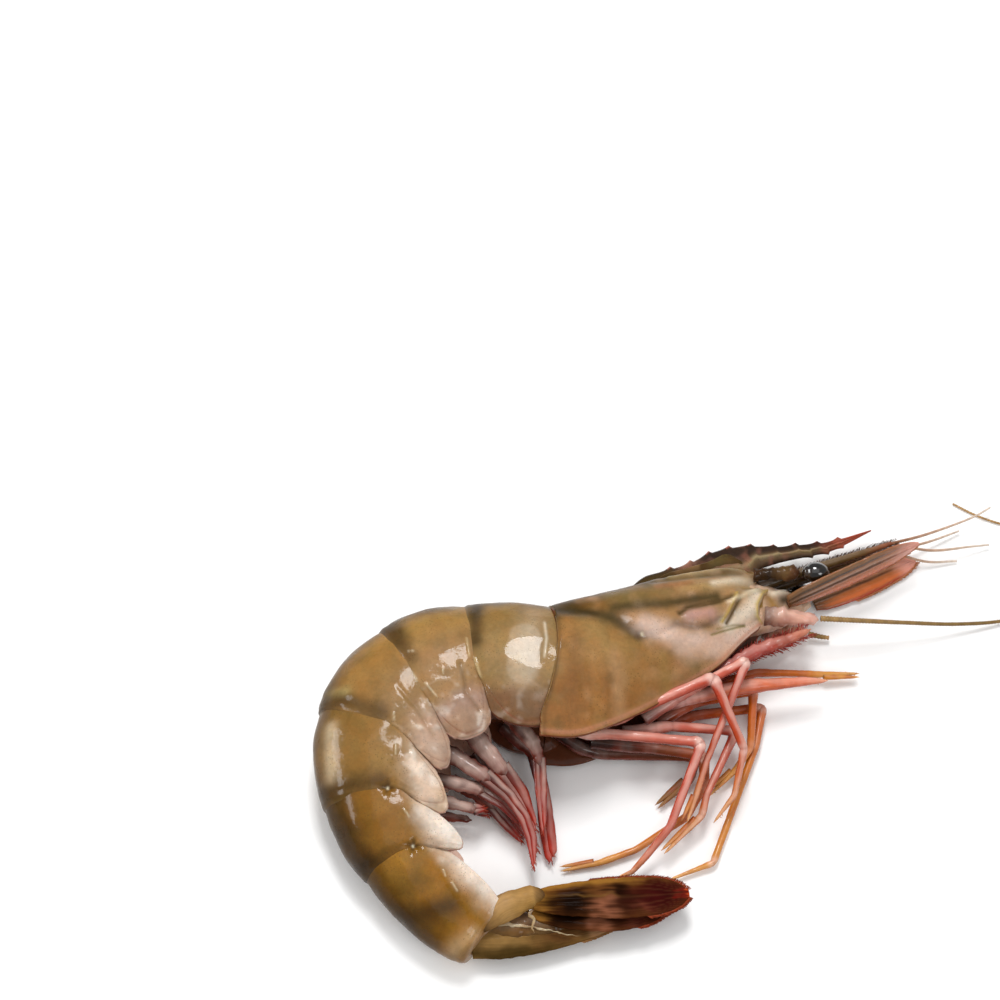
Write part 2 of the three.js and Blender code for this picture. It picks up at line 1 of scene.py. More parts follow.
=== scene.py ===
import math
import random
import bpy
import numpy as np
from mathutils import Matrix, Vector


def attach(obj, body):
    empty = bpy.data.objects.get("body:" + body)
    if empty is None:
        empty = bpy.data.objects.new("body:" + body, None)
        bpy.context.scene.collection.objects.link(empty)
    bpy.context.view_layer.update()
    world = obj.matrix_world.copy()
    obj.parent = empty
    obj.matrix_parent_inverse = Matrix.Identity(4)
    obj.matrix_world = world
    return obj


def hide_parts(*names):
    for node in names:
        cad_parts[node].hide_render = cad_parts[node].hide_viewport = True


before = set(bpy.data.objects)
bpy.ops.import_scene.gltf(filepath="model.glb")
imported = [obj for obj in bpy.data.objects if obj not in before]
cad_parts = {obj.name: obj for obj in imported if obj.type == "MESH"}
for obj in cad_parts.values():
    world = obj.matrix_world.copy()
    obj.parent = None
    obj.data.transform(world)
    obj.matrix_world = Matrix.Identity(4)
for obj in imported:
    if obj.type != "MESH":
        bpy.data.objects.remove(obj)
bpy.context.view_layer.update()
print("frame loaded:", len(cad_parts), "nodes")

millimetre = 0.001
neck = np.array([-34.3, 8.4, 12.0])  # where the head shell meets the tail, on the body's axis
tableGap, hairGap = 0.02, 0.1  # mm that limbs and bristle tips keep off the table


# Colours, curves and clouds
def linear(hexColour):  # sRGB hex to linear red, green, blue
    parts = [int(hexColour[k:k + 2], 16) / 255 for k in (1, 3, 5)]
    return np.array([p / 12.92 if p <= 0.04045 else ((p + 0.055) / 1.055) ** 2.4 for p in parts])


def heading(degrees):  # unit vector in plan
    a = np.radians(degrees)
    return np.stack([np.cos(a), np.sin(a)], -1)


def smooth(x, low, high):  # 0 below low, 1 above high, eased between
    t = np.clip((x - low) / (high - low), 0, 1)
    return t * t * (3 - 2 * t)


def mix(a, b, t):
    return a + (b - a) * t


def hill(x, width):  # 1 at 0, falling off to both sides
    return np.exp(-(x / width) ** 2)


def lengthAlong(path):  # at each point, how long the path is up to there
    return np.r_[0, np.cumsum(np.linalg.norm(np.diff(path, axis=0), axis=1))]


def profile(pairs, x):  # a smooth curve through [x, value] pairs, level past its ends
    xs = np.array([p[0] for p in pairs], float)
    ys = np.array([p[1] for p in pairs], float)
    slopes = np.empty(len(xs))
    for i in range(len(xs)):
        a, b = max(i - 1, 0), min(i + 1, len(xs) - 1)
        slopes[i] = (ys[b] - ys[a]) / (xs[b] - xs[a])
    x = np.clip(np.asarray(x, float), xs[0], xs[-1])
    k = np.clip(np.searchsorted(xs, x, side="right") - 1, 0, len(xs) - 2)
    span = xs[k + 1] - xs[k]
    t = (x - xs[k]) / span
    rise = ys[k + 1] - ys[k]
    bend = (1 - t) * slopes[k] * span - t * slopes[k + 1] * span
    return ys[k] + rise * t + t * (1 - t) * (bend - (1 - 2 * t) * rise)


skew = np.array([[0.36, 0.48, -0.8], [-0.8, 0.6, 0.0], [0.48, 0.64, 0.6]])  # turns one lattice off the other


latticePrimes = (73856093, 19349663, 83492791)


def lattice(p):  # values from -1 to 1 at whole numbers, eased between them
    base = np.floor(p).astype(np.int64)
    f = p - base
    f = f * f * (3 - 2 * f)
    total = np.zeros(p.shape[:-1])
    for corner in range(8):
        step = [corner & 1, corner >> 1 & 1, corner >> 2 & 1]
        x, y, z = [(base[..., axis] + step[axis]) * latticePrimes[axis] for axis in range(3)]
        h = x ^ y ^ z
        h = (h ^ (h >> 13)) * 1274126177 & 0x7FFFFFFF
        weight = 1.0
        for axis in range(3):
            weight = weight * (f[..., axis] if step[axis] else 1 - f[..., axis])
        total += weight * (h / 0x7FFFFFFF * 2 - 1)
    return total


def cloud(places, size, seed=0):  # soft random values from -1 to 1, in lumps of that size in mm
    p = np.asarray(places, float) / size + seed * 17.31
    return 0.75 * lattice(p @ skew) + 0.6 * lattice(p @ skew.T * 1.37 + 5.2)


def nearness(plan, path):  # distance in mm from each plan point to a line through a few points
    best = np.full(plan.shape[:-1], 1e9)
    points = [np.array(p, float) for p in path]
    if len(points) == 1:
        return np.linalg.norm(plan - points[0], axis=-1)
    for a, b in zip(points, points[1:]):
        run = b - a
        t = np.clip(((plan - a) @ run) / (run @ run), 0, 1)
        best = np.minimum(best, np.linalg.norm(plan - a - t[..., None] * run, axis=-1))
    return best


def paintOver(tone, coats):  # coats of (colour, mask), each over the last
    for colour, mask in coats:
        tone = tone + (linear(colour) - tone) * np.clip(mask, 0, 1)[..., None]
    return tone


# Making meshes
def gridFaces(rows, columns, wrap):
    r = np.arange(rows - 1)[:, None]
    c = np.arange(columns if wrap else columns - 1)[None, :]
    a = r * columns + c
    b = r * columns + (c + 1) % columns
    return np.stack([a, b, b + columns, a + columns], -1).reshape(-1, 4).tolist()


def lidFaces(first, columns, hub, turned):  # a fan over one end of a tube
    faces = []
    for c in range(columns):
        a, b = first + c, first + (c + 1) % columns
        faces.append([hub, b, a] if turned else [hub, a, b])
    return faces


def tube(rings, tones):  # closed surface from rings x sides x 3, with its colour for each point
    rows, columns = rings.shape[:2]
    places = rings.reshape(-1, 3)
    hubs = np.array([rings[0].mean(0), rings[-1].mean(0)])
    faces = gridFaces(rows, columns, True)
    faces += lidFaces(0, columns, rows * columns, True)
    faces += lidFaces((rows - 1) * columns, columns, rows * columns + 1, False)
    colours = np.concatenate([tones.reshape(-1, tones.shape[-1]), [tones[0].mean(0), tones[-1].mean(0)]])
    return np.concatenate([places, hubs]), faces, colours


def gridNormals(rings):  # outward directions of a ring grid, closed round its rings
    along = np.gradient(rings, axis=0)
    around = np.roll(rings, -1, 1) - np.roll(rings, 1, 1)
    n = np.cross(around, along)
    n /= np.maximum(np.linalg.norm(n, axis=-1, keepdims=True), 1e-9)
    outward = rings - rings.mean(1, keepdims=True)
    return n if (n * outward).sum() > 0 else -n


def joinParts(parts):  # several (places, faces, colours) as one
    places, faces, colours, start = [], [], [], 0
    for p, f, c in parts:
        places.append(p)
        colours.append(c)
        faces += [[i + start for i in face] for face in f]
        start += len(p)
    return np.concatenate(places), faces, np.concatenate(colours)


def signedVolume(places, faces):
    total = 0.0
    p = np.asarray(places)
    for face in faces:
        a = p[face[0]]
        for k in range(1, len(face) - 1):
            total += a @ np.cross(p[face[k]], p[face[k + 1]])
    return total


def setValues(mesh, name, kind, values):  # a number or a vector for each point
    layer = mesh.attributes.new(name, kind, "POINT")
    layer.data.foreach_set("value" if kind == "FLOAT" else "vector", np.asarray(values).ravel())


def setTone(mesh, colours):  # the fourth channel is how wet the shell is: 1 unless a piece says less
    colours = np.asarray(colours)
    if colours.shape[1] == 3:
        colours = np.c_[colours, np.ones(len(colours))]
    layer = mesh.attributes.new("tone", "FLOAT_COLOR", "POINT")
    layer.data.foreach_set("color", np.clip(colours, 0, 1).ravel())


def putInScene(name, data):
    made = bpy.data.objects.new(name, data)
    bpy.context.scene.collection.objects.link(made)
    return made


def settle(piece, nodes=()):  # its body and the solids that it stands for
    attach(piece, "root")
    if nodes:
        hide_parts(*nodes)


def addPiece(name, part, material, nodes=()):
    places, faces, colours = part
    if signedVolume(places, faces) < 0:
        faces = [face[::-1] for face in faces]
    mesh = bpy.data.meshes.new(name)
    mesh.from_pydata((np.asarray(places) * millimetre).tolist(), [], faces)
    mesh.update()
    mesh.polygons.foreach_set("use_smooth", [True] * len(mesh.polygons))
    setTone(mesh, colours)
    mesh.materials.append(material)
    piece = putInScene(name, mesh)
    settle(piece, nodes)
    return piece


# Node trees
# a link comes from a socket or a node's first
def addNode(tree, kind, settings=None, values=None, links=None):
    made = tree.nodes.new(kind)
    for key, value in (settings or {}).items():
        setattr(made, key, value)
    for key, value in (values or {}).items():
        made.inputs[key].default_value = value
    for key, source in (links or {}).items():
        tree.links.new(getattr(source, "outputs", [source])[0], made.inputs[key])
    return made


def startMaterial(name, values):  # a surface shader with its plain values, and positions in mm
    material = bpy.data.materials.new(name)
    material.use_nodes = True
    tree = material.node_tree
    tree.nodes.clear()
    shader = addNode(tree, "ShaderNodeBsdfPrincipled", values=values)
    addNode(tree, "ShaderNodeOutputMaterial", {"location": (400, 0)}, None, {"Surface": shader})
    where = addNode(tree, "ShaderNodeTexCoord")
    inMm = addNode(tree, "ShaderNodeVectorMath", {"operation": "SCALE"}, {"Scale": 1000.0},
                   {0: where.outputs["Object"]})
    tone = addNode(tree, "ShaderNodeAttribute", {"attribute_name": "tone"})
    return material, tree, shader, inMm.outputs[0], tone.outputs["Color"]


def varyTone(tree, tone, factor, dark, light):  # tone times a grey that runs from dark to light
    grey = addNode(tree, "ShaderNodeMapRange", None, {"To Min": dark, "To Max": light}, {"Value": factor})
    return addNode(tree, "ShaderNodeVectorMath", {"operation": "SCALE"}, None,
                   {0: tone, "Scale": grey}).outputs[0]


# Chitin shell of a raw prawn, wet: a thin clear layer over cloudy flesh. To the eye that gives sharp
# glints on a waxy, slightly see-through body with pepper-fine colour dots.
shellLook = {
    "mottleMm": 5.5, "mottleDark": 0.7, "mottleLight": 1.26,
    "grainMm": 0.8, "grainDark": 0.82, "grainLight": 1.17,
    "hueMm": 3.2, "warm": (1.03, 1.0, 0.93), "cool": (0.96, 1.0, 0.99),
    "dotMm": 0.55, "dotSize": 0.32, "dotStrength": 0.45, "dotColour": "#3a2a16",
    "roughLow": 0.26, "roughHigh": 0.46,
    "bumpMm": 0.05, "pitMm": 0.35,
}


def makeShell(name, look, values, dries=False):
    base = {"IOR": 1.46, "Specular IOR Level": 0.07, "Coat Weight": 0.26, "Coat Roughness": 0.06,
            "Coat IOR": 1.4,
            "Subsurface Weight": 0.12, "Subsurface Scale": 0.0014, "Subsurface Radius": (1.0, 0.45, 0.25)}
    base.update(values)
    material, tree, shader, place, tone = startMaterial(name, base)
    mottle = addNode(tree, "ShaderNodeTexNoise", None,
                     {"Scale": 1 / look["mottleMm"], "Detail": 4.0, "Roughness": 0.6, "Distortion": 0.6},
                     {"Vector": place})
    grain = addNode(tree, "ShaderNodeTexNoise", None,
                    {"Scale": 1 / look["grainMm"], "Detail": 3.0, "Roughness": 0.55}, {"Vector": place})
    dots = addNode(tree, "ShaderNodeTexVoronoi", {"feature": "F1"},
                   {"Scale": 1 / look["dotMm"], "Randomness": 1.0}, {"Vector": place})
    toned = varyTone(tree, tone, mottle.outputs[0], look["mottleDark"], look["mottleLight"])
    toned = varyTone(tree, toned, grain.outputs[0], look["grainDark"], look["grainLight"])
    drift = addNode(tree, "ShaderNodeTexNoise", None, {"Scale": 1 / look["hueMm"], "Detail": 3.0},
                    {"Vector": place})
    side = addNode(tree, "ShaderNodeMapRange", None, {"From Min": 0.38, "From Max": 0.62}, {"Value": drift})
    hue = addNode(tree, "ShaderNodeMix", {"data_type": "VECTOR"}, {4: look["cool"], 5: look["warm"]},
                  {"Factor": side})
    toned = addNode(tree, "ShaderNodeVectorMath", {"operation": "MULTIPLY"}, None,
                    {0: toned, 1: hue.outputs[1]}).outputs[0]
    isDot = addNode(tree, "ShaderNodeMapRange", {"interpolation_type": "SMOOTHSTEP"},
                    {"From Min": look["dotSize"], "From Max": look["dotSize"] * 0.4,
                     "To Min": 0.0, "To Max": look["dotStrength"]},
                    {"Value": dots.outputs["Distance"]})
    sparse = addNode(tree, "ShaderNodeMapRange", None,
                     {"From Min": 0.45, "From Max": 0.62, "To Min": 0.0, "To Max": 1.0},
                     {"Value": mottle})
    dotMask = addNode(tree, "ShaderNodeMath", {"operation": "MULTIPLY"}, None,
                      {0: isDot, 1: sparse})
    dotted = addNode(tree, "ShaderNodeMix", {"data_type": "RGBA"},
                     {"B": (*linear(look["dotColour"]), 1)}, {"Factor": dotMask, "A": toned})
    tree.links.new(dotted.outputs["Result"], shader.inputs["Base Color"])
    rough = addNode(tree, "ShaderNodeMapRange", None,
                    {"From Min": 0.3, "From Max": 0.7, "To Min": look["roughLow"],
                     "To Max": look["roughHigh"]},
                    {"Value": mottle})
    tree.links.new(rough.outputs[0], shader.inputs["Roughness"])
    pits = addNode(tree, "ShaderNodeTexNoise", None,
                   {"Scale": 1 / look["pitMm"], "Detail": 2.0}, {"Vector": place})
    both = addNode(tree, "ShaderNodeMath", {"operation": "MULTIPLY_ADD"}, {1: 0.35},
                   {0: pits, 2: grain})
    bump = addNode(tree, "ShaderNodeBump", None,
                   {"Strength": 0.5, "Distance": look["bumpMm"] * millimetre}, {"Height": both})
    tree.links.new(bump.outputs[0], shader.inputs["Normal"])
    tree.links.new(bump.outputs[0], shader.inputs["Coat Normal"])
    if dries:  # the back has dried, the flanks are wet
        wet = addNode(tree, "ShaderNodeMath", {"operation": "MULTIPLY"}, {1: base["Coat Weight"]},
                      {0: tone.node.outputs["Alpha"]})
        tree.links.new(wet.outputs[0], shader.inputs["Coat Weight"])
    return material


headShell = makeShell("wet_head_shell", shellLook, {}, dries=True)
beakShell = makeShell("wet_beak_shell", shellLook, {})
# Thin skin between the hard shells: the same mottled colours, but wet and shiny all over.
softSkin = makeShell("wet_joint_skin", shellLook, {})
# The rings are smoother and wetter than the head, so their glints are sharper.
tailShell = makeShell("wet_tail_shell", {**shellLook, "mottleMm": 4.5, "roughLow": 0.22, "roughHigh": 0.42},
                      {"Coat Weight": 0.46, "Coat Roughness": 0.035}, dries=True)
# Eye stalk: lumpy dark shell, so the light breaks up into small dull spots.
stalkShell = makeShell("mottled_eye_stalk", {**shellLook, "mottleMm": 1.2, "mottleDark": 0.5,
                       "mottleLight": 1.7, "dotStrength": 0.6, "bumpMm": 0.12}, {"Coat Weight": 0.22})

# Leg cuticle: horn-clear tubes round pink flesh. That gives fine fibres along the leg and bright wet lines.
limbLook = {"fibreMm": 0.5, "fibreStretch": 7.0, "blotchMm": 2.2, "dark": 0.84, "light": 1.14, "bumpMm": 0.05,
            "roughLow": 0.18, "roughHigh": 0.34}


def makeLimbSkin(name, look, values):
    base = {"IOR": 1.45, "Specular IOR Level": 0.16, "Coat Weight": 0.36, "Coat Roughness": 0.07,
            "Coat IOR": 1.4,
            "Subsurface Weight": 0.14, "Subsurface Scale": 0.001, "Subsurface Radius": (1.0, 0.4, 0.25)}
    base.update(values)
    material, tree, shader, place, tone = startMaterial(name, base)
    run = addNode(tree, "ShaderNodeAttribute", {"attribute_name": "run"})  # mm along, mm round, piece
    long = addNode(tree, "ShaderNodeMapping", None,
                   {"Scale": (1 / (look["fibreMm"] * look["fibreStretch"]), 1 / look["fibreMm"], 1.0)},
                   {"Vector": run.outputs["Vector"]})
    fibre = addNode(tree, "ShaderNodeTexNoise", None, {"Scale": 1.0, "Detail": 3.0}, {"Vector": long})
    blotch = addNode(tree, "ShaderNodeTexNoise", None, {"Scale": 1 / look["blotchMm"], "Detail": 3.0},
                     {"Vector": place})
    toned = varyTone(tree, tone, fibre.outputs[0], look["dark"], look["light"])
    toned = varyTone(tree, toned, blotch.outputs[0], look["dark"], look["light"])
    tree.links.new(toned, shader.inputs["Base Color"])
    rough = addNode(tree, "ShaderNodeMapRange", None,
                    {"From Min": 0.3, "From Max": 0.7, "To Min": look["roughLow"],
                     "To Max": look["roughHigh"]},
                    {"Value": blotch})
    tree.links.new(rough.outputs[0], shader.inputs["Roughness"])
    bump = addNode(tree, "ShaderNodeBump", None,
                   {"Strength": 0.5, "Distance": look["bumpMm"] * millimetre}, {"Height": fibre})
    tree.links.new(bump.outputs[0], shader.inputs["Normal"])
    return material


legSkin = makeLimbSkin("wet_leg_cuticle", limbLook, {})
# Swimming legs: soft fluted skin, deeper in colour and wetter than the walking legs.
paddleSkin = makeLimbSkin("wet_paddle_cuticle", {**limbLook, "fibreMm": 0.35, "dark": 0.72, "light": 1.22},
                          {"Coat Weight": 0.5, "Subsurface Weight": 0.08})
# Feelers and their scales: thin horn in long bands of colour, with a soft silky sheen.
feelerSkin = makeLimbSkin("banded_feeler_cuticle", {**limbLook, "fibreMm": 0.4}, {"Subsurface Weight": 0.1})
# Fan blades: leathery, ribbed leaves, with fine ribs that run to the tip and a soft wet sheen.
finSkin = makeLimbSkin("ribbed_fan_blade", {**limbLook, "fibreMm": 0.42, "fibreStretch": 14.0, "dark": 0.7,
                       "light": 1.3, "bumpMm": 0.12, "roughLow": 0.24, "roughHigh": 0.42},
                       {"Coat Weight": 0.022, "Coat Roughness": 0.09, "Specular IOR Level": 0.0,
                        "Subsurface Weight": 0.03})
# Whip: horny thread of short rings, which the eye takes for a matt olive line with a faint glitter.
whipSkin = makeLimbSkin("ringed_whip_cuticle", {**limbLook, "roughLow": 0.3, "roughHigh": 0.5},
                        {"Coat Weight": 0.2, "Subsurface Weight": 0.05})
# Bristles: stiff chitin hairs, each one plain, lighter towards the tip.
bristleSkin = makeLimbSkin("chitin_bristles", {**limbLook, "roughLow": 0.35, "roughHigh": 0.5},
                           {"Coat Weight": 0.1, "Subsurface Weight": 0.0})


# Compound eye: thousands of lenses under one clear skin. That gives near black with a hard bright glint,
# and a brown glow, a sheen painted into its colour, that a fine net of cells breaks up. The cells are
# wider than real ones, so they show.
eyeLook = {"facetMm": 0.12, "dark": "#050403", "glow": "#3a2a1c", "glowMm": 2.6}


def makeEyeLens(look):
    material, tree, shader, place, _ = startMaterial("black_eye_lens", {
        "IOR": 1.5, "Roughness": 0.12, "Coat Weight": 1.0, "Coat Roughness": 0.02, "Coat IOR": 1.4})
    net = addNode(tree, "ShaderNodeTexVoronoi", {"feature": "DISTANCE_TO_EDGE"},
                  {"Scale": 1 / look["facetMm"], "Randomness": 0.25}, {"Vector": place})
    glow = addNode(tree, "ShaderNodeTexNoise", None, {"Scale": 1 / look["glowMm"], "Detail": 2.0},
                   {"Vector": place})
    amount = addNode(tree, "ShaderNodeMapRange", None, {"From Min": 0.45, "From Max": 0.75},
                     {"Value": glow})
    lens = addNode(tree, "ShaderNodeMix", {"data_type": "RGBA"},
                   {"A": (*linear(look["dark"]), 1), "B": (*linear(look["glow"]), 1)},
                   {"Factor": amount})
    tree.links.new(lens.outputs["Result"], shader.inputs["Base Color"])
    bump = addNode(tree, "ShaderNodeBump", None, {"Strength": 0.25, "Distance": 0.02 * millimetre},
                   {"Height": net.outputs["Distance"]})
    tree.links.new(bump.outputs[0], shader.inputs["Normal"])
    return material


eyeLens = makeEyeLens(eyeLook)
print("materials made")


# Body: the same stations as the solids, in finer steps
tail = {
    "hingeHeading": [174, 184, 221, 257, 283, 300, 321],
    "rimHeading": [180, 185, 207, 243, 274, 293, 326],
    "flapHeading": [184, 198, 210, 229, 247, 272, 316],
    "length": [15.6, 13.1, 11.4, 13.6, 13, 22],
    "back": [14.6, 14.9, 16.6, 16.6, 13.8, 10.8, 6.4],
    "halfWidth": [12, 11.4, 11, 10.6, 9.7, 8.5, 5.6],
    "height": [12, 11.3, 10.9, 10.4, 9.4, 8.2, 6.2],
    "flap": [15.4, 16.6, 16.4, 14.8, 12.2, 8.6],
    "belly": [10.5, 10, 9.5, 9, 8, 6.5],
    "overlap": 0.9,
    "stepsPerMm": 4.4,
    # how much less wet the back is, and between which shares of its height
    "dry": 0.72, "dryFrom": (0.42, 0.8),
    "rimLip": 0.05,  # how proud each ring's rear edge stands
    "lump": 0.16,  # slow unevenness of the shell
    "crumple": [0.1, 0.7, 0.85, 0.35, 0.2, 0.15],  # fine creases on each flank
    "bulge": 0.5,  # how much each ring swells between its rims
    # a level spot on ring 1: how high it lies and how much of the shell above it is left
    "facet": {"path": [(-4.9, 3.6), (-5.3, -3.8)], "reach": 4.3, "height": 23.62, "left": 0.1},
    "glint": (0.75, 0.8, 0.6),  # width, strength and relief of the glints against their marks
    "whorls": [0.3, 0.8, 1.0, 1.0, 0.8, 0.5],  # how strong the swirls on each side flap are: partly flesh that shows through, partly painted highlight on their bumps and painted shade between
    # where a flap's colour starts, in mm under the axis, and where it is full, as a share of the flap
    "flapFade": [(5, 0.62), (5, 0.62), (1.5, 0.62), (1.5, 0.62), (0.6, 0.95), (1.6, 1.05)],
    "darkTop": [0.72, 0.72, 0.72, 0.56, 0.56, 0.56],  # share of the height where the back turns dark
    "paleFrom": [None, None, None, None, 2.0, 2.8],  # mm under the axis where the last flanks turn pale
    # inner walls and belly: pale flesh; on ring 1, under the head shell, darker as painted shade over brown
    # flesh
    "inside": ["#6b3a28"] + ["#cfa898"] * 5,
    "colours": {"amber": "#98743a", "moss": "#5a4620", "swirlShade": "#80604e", "swirlHighlight": "#f2e6dc",
                "flapLine": "#7a4630", "rearRim": "#4e3a1c", "crease": "#e0cdb8", "top": "#3f2a0a",
                "tiger": "#241504", "pale": "#e8dad0", "farFlap": "#4a2415", "dent": "#3a260d",
                "dentHeart": "#efe4c8"},
}
# Points round half a section, and the fillet where the crest grows out of it.
sides = {"back": 44, "flank": 44, "lip": 5, "inner": 6, "belly": 8, "filletMm": 2.2}


def hingePlace(index):
    place = neck[:2].copy()
    for i in range(index):
        place = axisPlace(i, np.array([1.0]), place)[0]
    return place


def axisPlace(index, t, start):
    a, b = tail["hingeHeading"][index], tail["hingeHeading"][index + 1]
    bend = math.radians(b - a) / tail["length"][index]
    now = np.radians(mix(a, b, t))
    x = start[0] + (np.sin(now) - math.sin(math.radians(a))) / bend
    y = start[1] - (np.cos(now) - math.cos(math.radians(a))) / bend
    return np.stack([x, y], -1)


def sectionHalf(high, wide, drop, belly, wall=0.9, crest=None):  # (back, side) points, mid-back to mid-belly
    edge = wide * 0.72
    q = np.linspace(0, 1, sides["back"], endpoint=False) ** (1 if crest is None else 1.7) * math.pi / 2
    v = np.linspace(0, 1, sides["flank"])
    back = np.stack([high * np.cos(q), wide * np.sin(q)], -1)
    if crest is not None:  # a thin upright blade that grows out of the back in a soft fillet
        top, thick = crest
        dome = 1 / np.sqrt((np.cos(q) / high) ** 2 + (np.sin(q) / wide) ** 2)
        blade = np.minimum(top / np.cos(q), thick / 2 / np.maximum(np.sin(q), 1e-4))
        h = np.clip(0.5 + 0.5 * (blade - dome) / sides["filletMm"], 0, 1)
        reach = mix(dome, blade, h) + sides["filletMm"] * h * (1 - h)
        back = np.stack([reach * np.cos(q), reach * np.sin(q)], -1)
    flank = np.stack([-drop * v, mix(wide, edge, v ** 1.7)], -1)
    a = np.linspace(0, math.pi, sides["lip"] + 2)[1:-1]
    lip = np.stack([-drop - 0.3 * np.sin(a), edge - wall / 2 + wall / 2 * np.cos(a)], -1)
    under = -belly * 0.92
    s = np.linspace(0, 1, sides["inner"])
    inner = np.stack([mix(-drop, under, s), mix(edge - wall, edge - 2.1, s)], -1)
    w = np.linspace(1, 0, sides["belly"] + 1)[1:]
    floor = np.stack([under - belly * 0.12 * (1 - w ** 2), (edge - 2.1) * w], -1)
    return np.concatenate([back, flank, lip, inner, floor])


# the whole section in place, and its heights on the back
def bodyRing(centre, height, rim, flap, half, drop):
    full = np.concatenate([half, half[-2:0:-1] * [1, -1]])
    u, w = full[:, 0], full[:, 1]
    turned = smooth(-u, 0, drop * 0.7)
    plan = centre + u[:, None] * heading(mix(rim, flap, turned) - 90)
    return np.c_[plan, np.maximum(height + w, 0.0)], u


def outsideMask(u):  # true on the back and the flanks, false on the lips, the inner walls and the belly
    columns = u.shape[1]
    shown = sides["back"] + sides["flank"]
    column = np.arange(columns)
    return np.broadcast_to((column < shown) | (column > columns - shown), u.shape).copy()


# mask of painted shade on the far flap, which lies under the body
def farSide(u, high, low):  # the flap that lies on the table, darker the lower it is
    columns = u.shape[1]
    return smooth(-u, high, low) * (np.arange(columns) > columns // 2)


def toneWithWetness(tone, u, high, look):  # the middle of the back has dried
    low, top = look["dryFrom"]
    return np.concatenate([tone, (1 - look["dry"] * smooth(u, high * low, high * top))[..., None]], -1)


# Paint and carving of both flanks, for each ring, in plan places in mm from the neck:
# kind, path, half width, colour, strength, relief in mm.
# Glint marks are painted highlights on small ridges; crease marks darken the creases with painted shade.
tailMarks = [
    [("band", [(-15.0, 14.5), (-15.3, 8), (-15.3, 3)], 1.9, "#33230c", 0.74, 0),
     ("glint", [(-15.4, -0.9), (-14.3, -4.8)], 0.35, "#d9c79c", 0.4, 0.3),
     ("shade", [(-3, 11), (-2, 2), (-4, -10)], 2.2, "#6d5236", 0.35, 0),
     # ring 1's bloom and highlight window are a painted highlight with its pale glow, where the back soft box
     # shines
     ("bloom", [(-3.4, 8.0), (-4.6, 1), (-5.6, -5)], 3.2, "#c2ab90", 0.32, 0),
     ("highlight_window", [(-5.0, 3.2), (-5.3, -3.2)], 3.6, "#e6dace", 0.16, 0),
     ("glint", [(-0.9, 7.0), (-0.5, 3.0), (-1.0, -1.0)], 0.4, "#e9dcc8", 0.6, 0.2)],
    [("band", [(-35.0, 9.5), (-33.2, 6.5), (-28.9, 0)], 2.0, "#3d2a10", 0.66, 0),
     ("glint", [(-17.1, 3.7), (-16.5, -0.3)], 0.35, "#d9c79c", 0.4, 0.3),
     ("glint", [(-29.1, 1.1), (-27.9, 1.0)], 0.24, "#e9dcc0", 0.45, 0.35),
     ("glint", [(-28.2, -3.9), (-27.4, -5.7)], 0.24, "#e9dcc0", 0.45, 0.35),
     ("glint", [(-25.7, -6.1), (-23.4, -8.8)], 0.26, "#e9dcc0", 0.45, 0.35),
     ("glint", [(-22.0, -3.1), (-22.0, -4.1)], 0.24, "#e9dcc0", 0.45, 0.35),
     ("crease", [(-18.3, -2), (-17.2, -8), (-14.5, -11.5)], 0.5, "#6d5236", 0.4, -0.25)],
    # painted highlight: a pale strip where a soft box shines on ring 3
    [("highlight_strip", [(-46.8, -5.7), (-42.4, -6.9)], 1.3, "#cdb070", 0.75, 0.05),
     ("band", [(-48.0, -8.0), (-42, -9.2), (-34.5, -12.4)], 1.9, "#33220c", 0.62, 0),
     ("glint", [(-32.1, -12.5), (-32.0, -14.0)], 0.24, "#e9dcc0", 0.45, 0.35),
     ("crease", [(-31, -7), (-27, -12), (-24, -17)], 0.5, "#8a6a48", 0.35, -0.2)],
    [("band", [(-47, -28.4), (-41, -26.9), (-34.6, -26.6)], 2.1, "#2c1c06", 0.62, 0),
     ("glint", [(-31.6, -19.1), (-31.6, -21.2)], 0.24, "#e9dcc0", 0.45, 0.35),
     # painted highlight: a pale strip down ring 4's back, where the left soft box shines
     ("highlight_strip", [(-45, -14), (-45, -25)], 1.3, "#cdb697", 0.65, 0.05)],
    [("shade", [(-46, -30), (-43, -36), (-38, -44)], 3.4, "#2c1a04", 0.85, 0),
     ("band", [(-39, -43.4), (-31, -40.6)], 1.8, "#35230a", 0.42, 0),
     ("glint", [(-29.8, -32.5), (-28.8, -33.9)], 0.24, "#e9dcc0", 0.45, 0.35)],
    [("patch", [(-29.5, -53.5), (-20.4, -51.6)], 2.9, "#2c1a04", 0.8, 0),
     ("patch", [(-33.5, -48), (-26.9, -46.5)], 2.4, "#44300c", 0.3, 0),
     ("shade", [(-36, -47), (-24, -58)], 1.8, "#2c1a04", 0.6, 0),
     ("pale", [(-19.5, -59.5), (-15.5, -57)], 1.8, "#c7a67f", 0.5, 0),
     ("glint", [(-21.8, -44.3), (-21.4, -45.5)], 0.24, "#e9dcc0", 0.45, 0.35),
     ("glint", [(-20.0, -46.8), (-19.0, -48.4)], 0.26, "#e9dcc0", 0.45, 0.35)],
]
tailTones = [  # back, flank, side flap of each ring
    ("#836434", "#8d6f45", "#6f4e34"),
    ("#94703c", "#94714a", "#9e8072"),
    ("#946c36", "#8b6a42", "#b39684"),
    ("#7c5a28", "#866334", "#cdb4a2"),
    ("#644209", "#835a22", "#dac2ae"),
    ("#5e3d06", "#8a5c14", "#d2baa6"),
]
starCreases = [None, None, None, (-33.2, -28.0), (-27.9, -39.7), None]  # dents where two rings hinge


def starDent(plan, centre):
    away = plan - np.array(centre)
    d = np.linalg.norm(away, axis=-1)
    angle = np.arctan2(away[..., 1], away[..., 0])
    arms = 0.55 + 0.45 * np.cos(4 * angle + 0.6)
    return hill(d, 0.55 + 0.8 * arms), hill(d, 0.28)  # the dent and its light heart


def ringValue(key, index, t):
    return mix(tail[key][index], tail[key][index + 1], t)


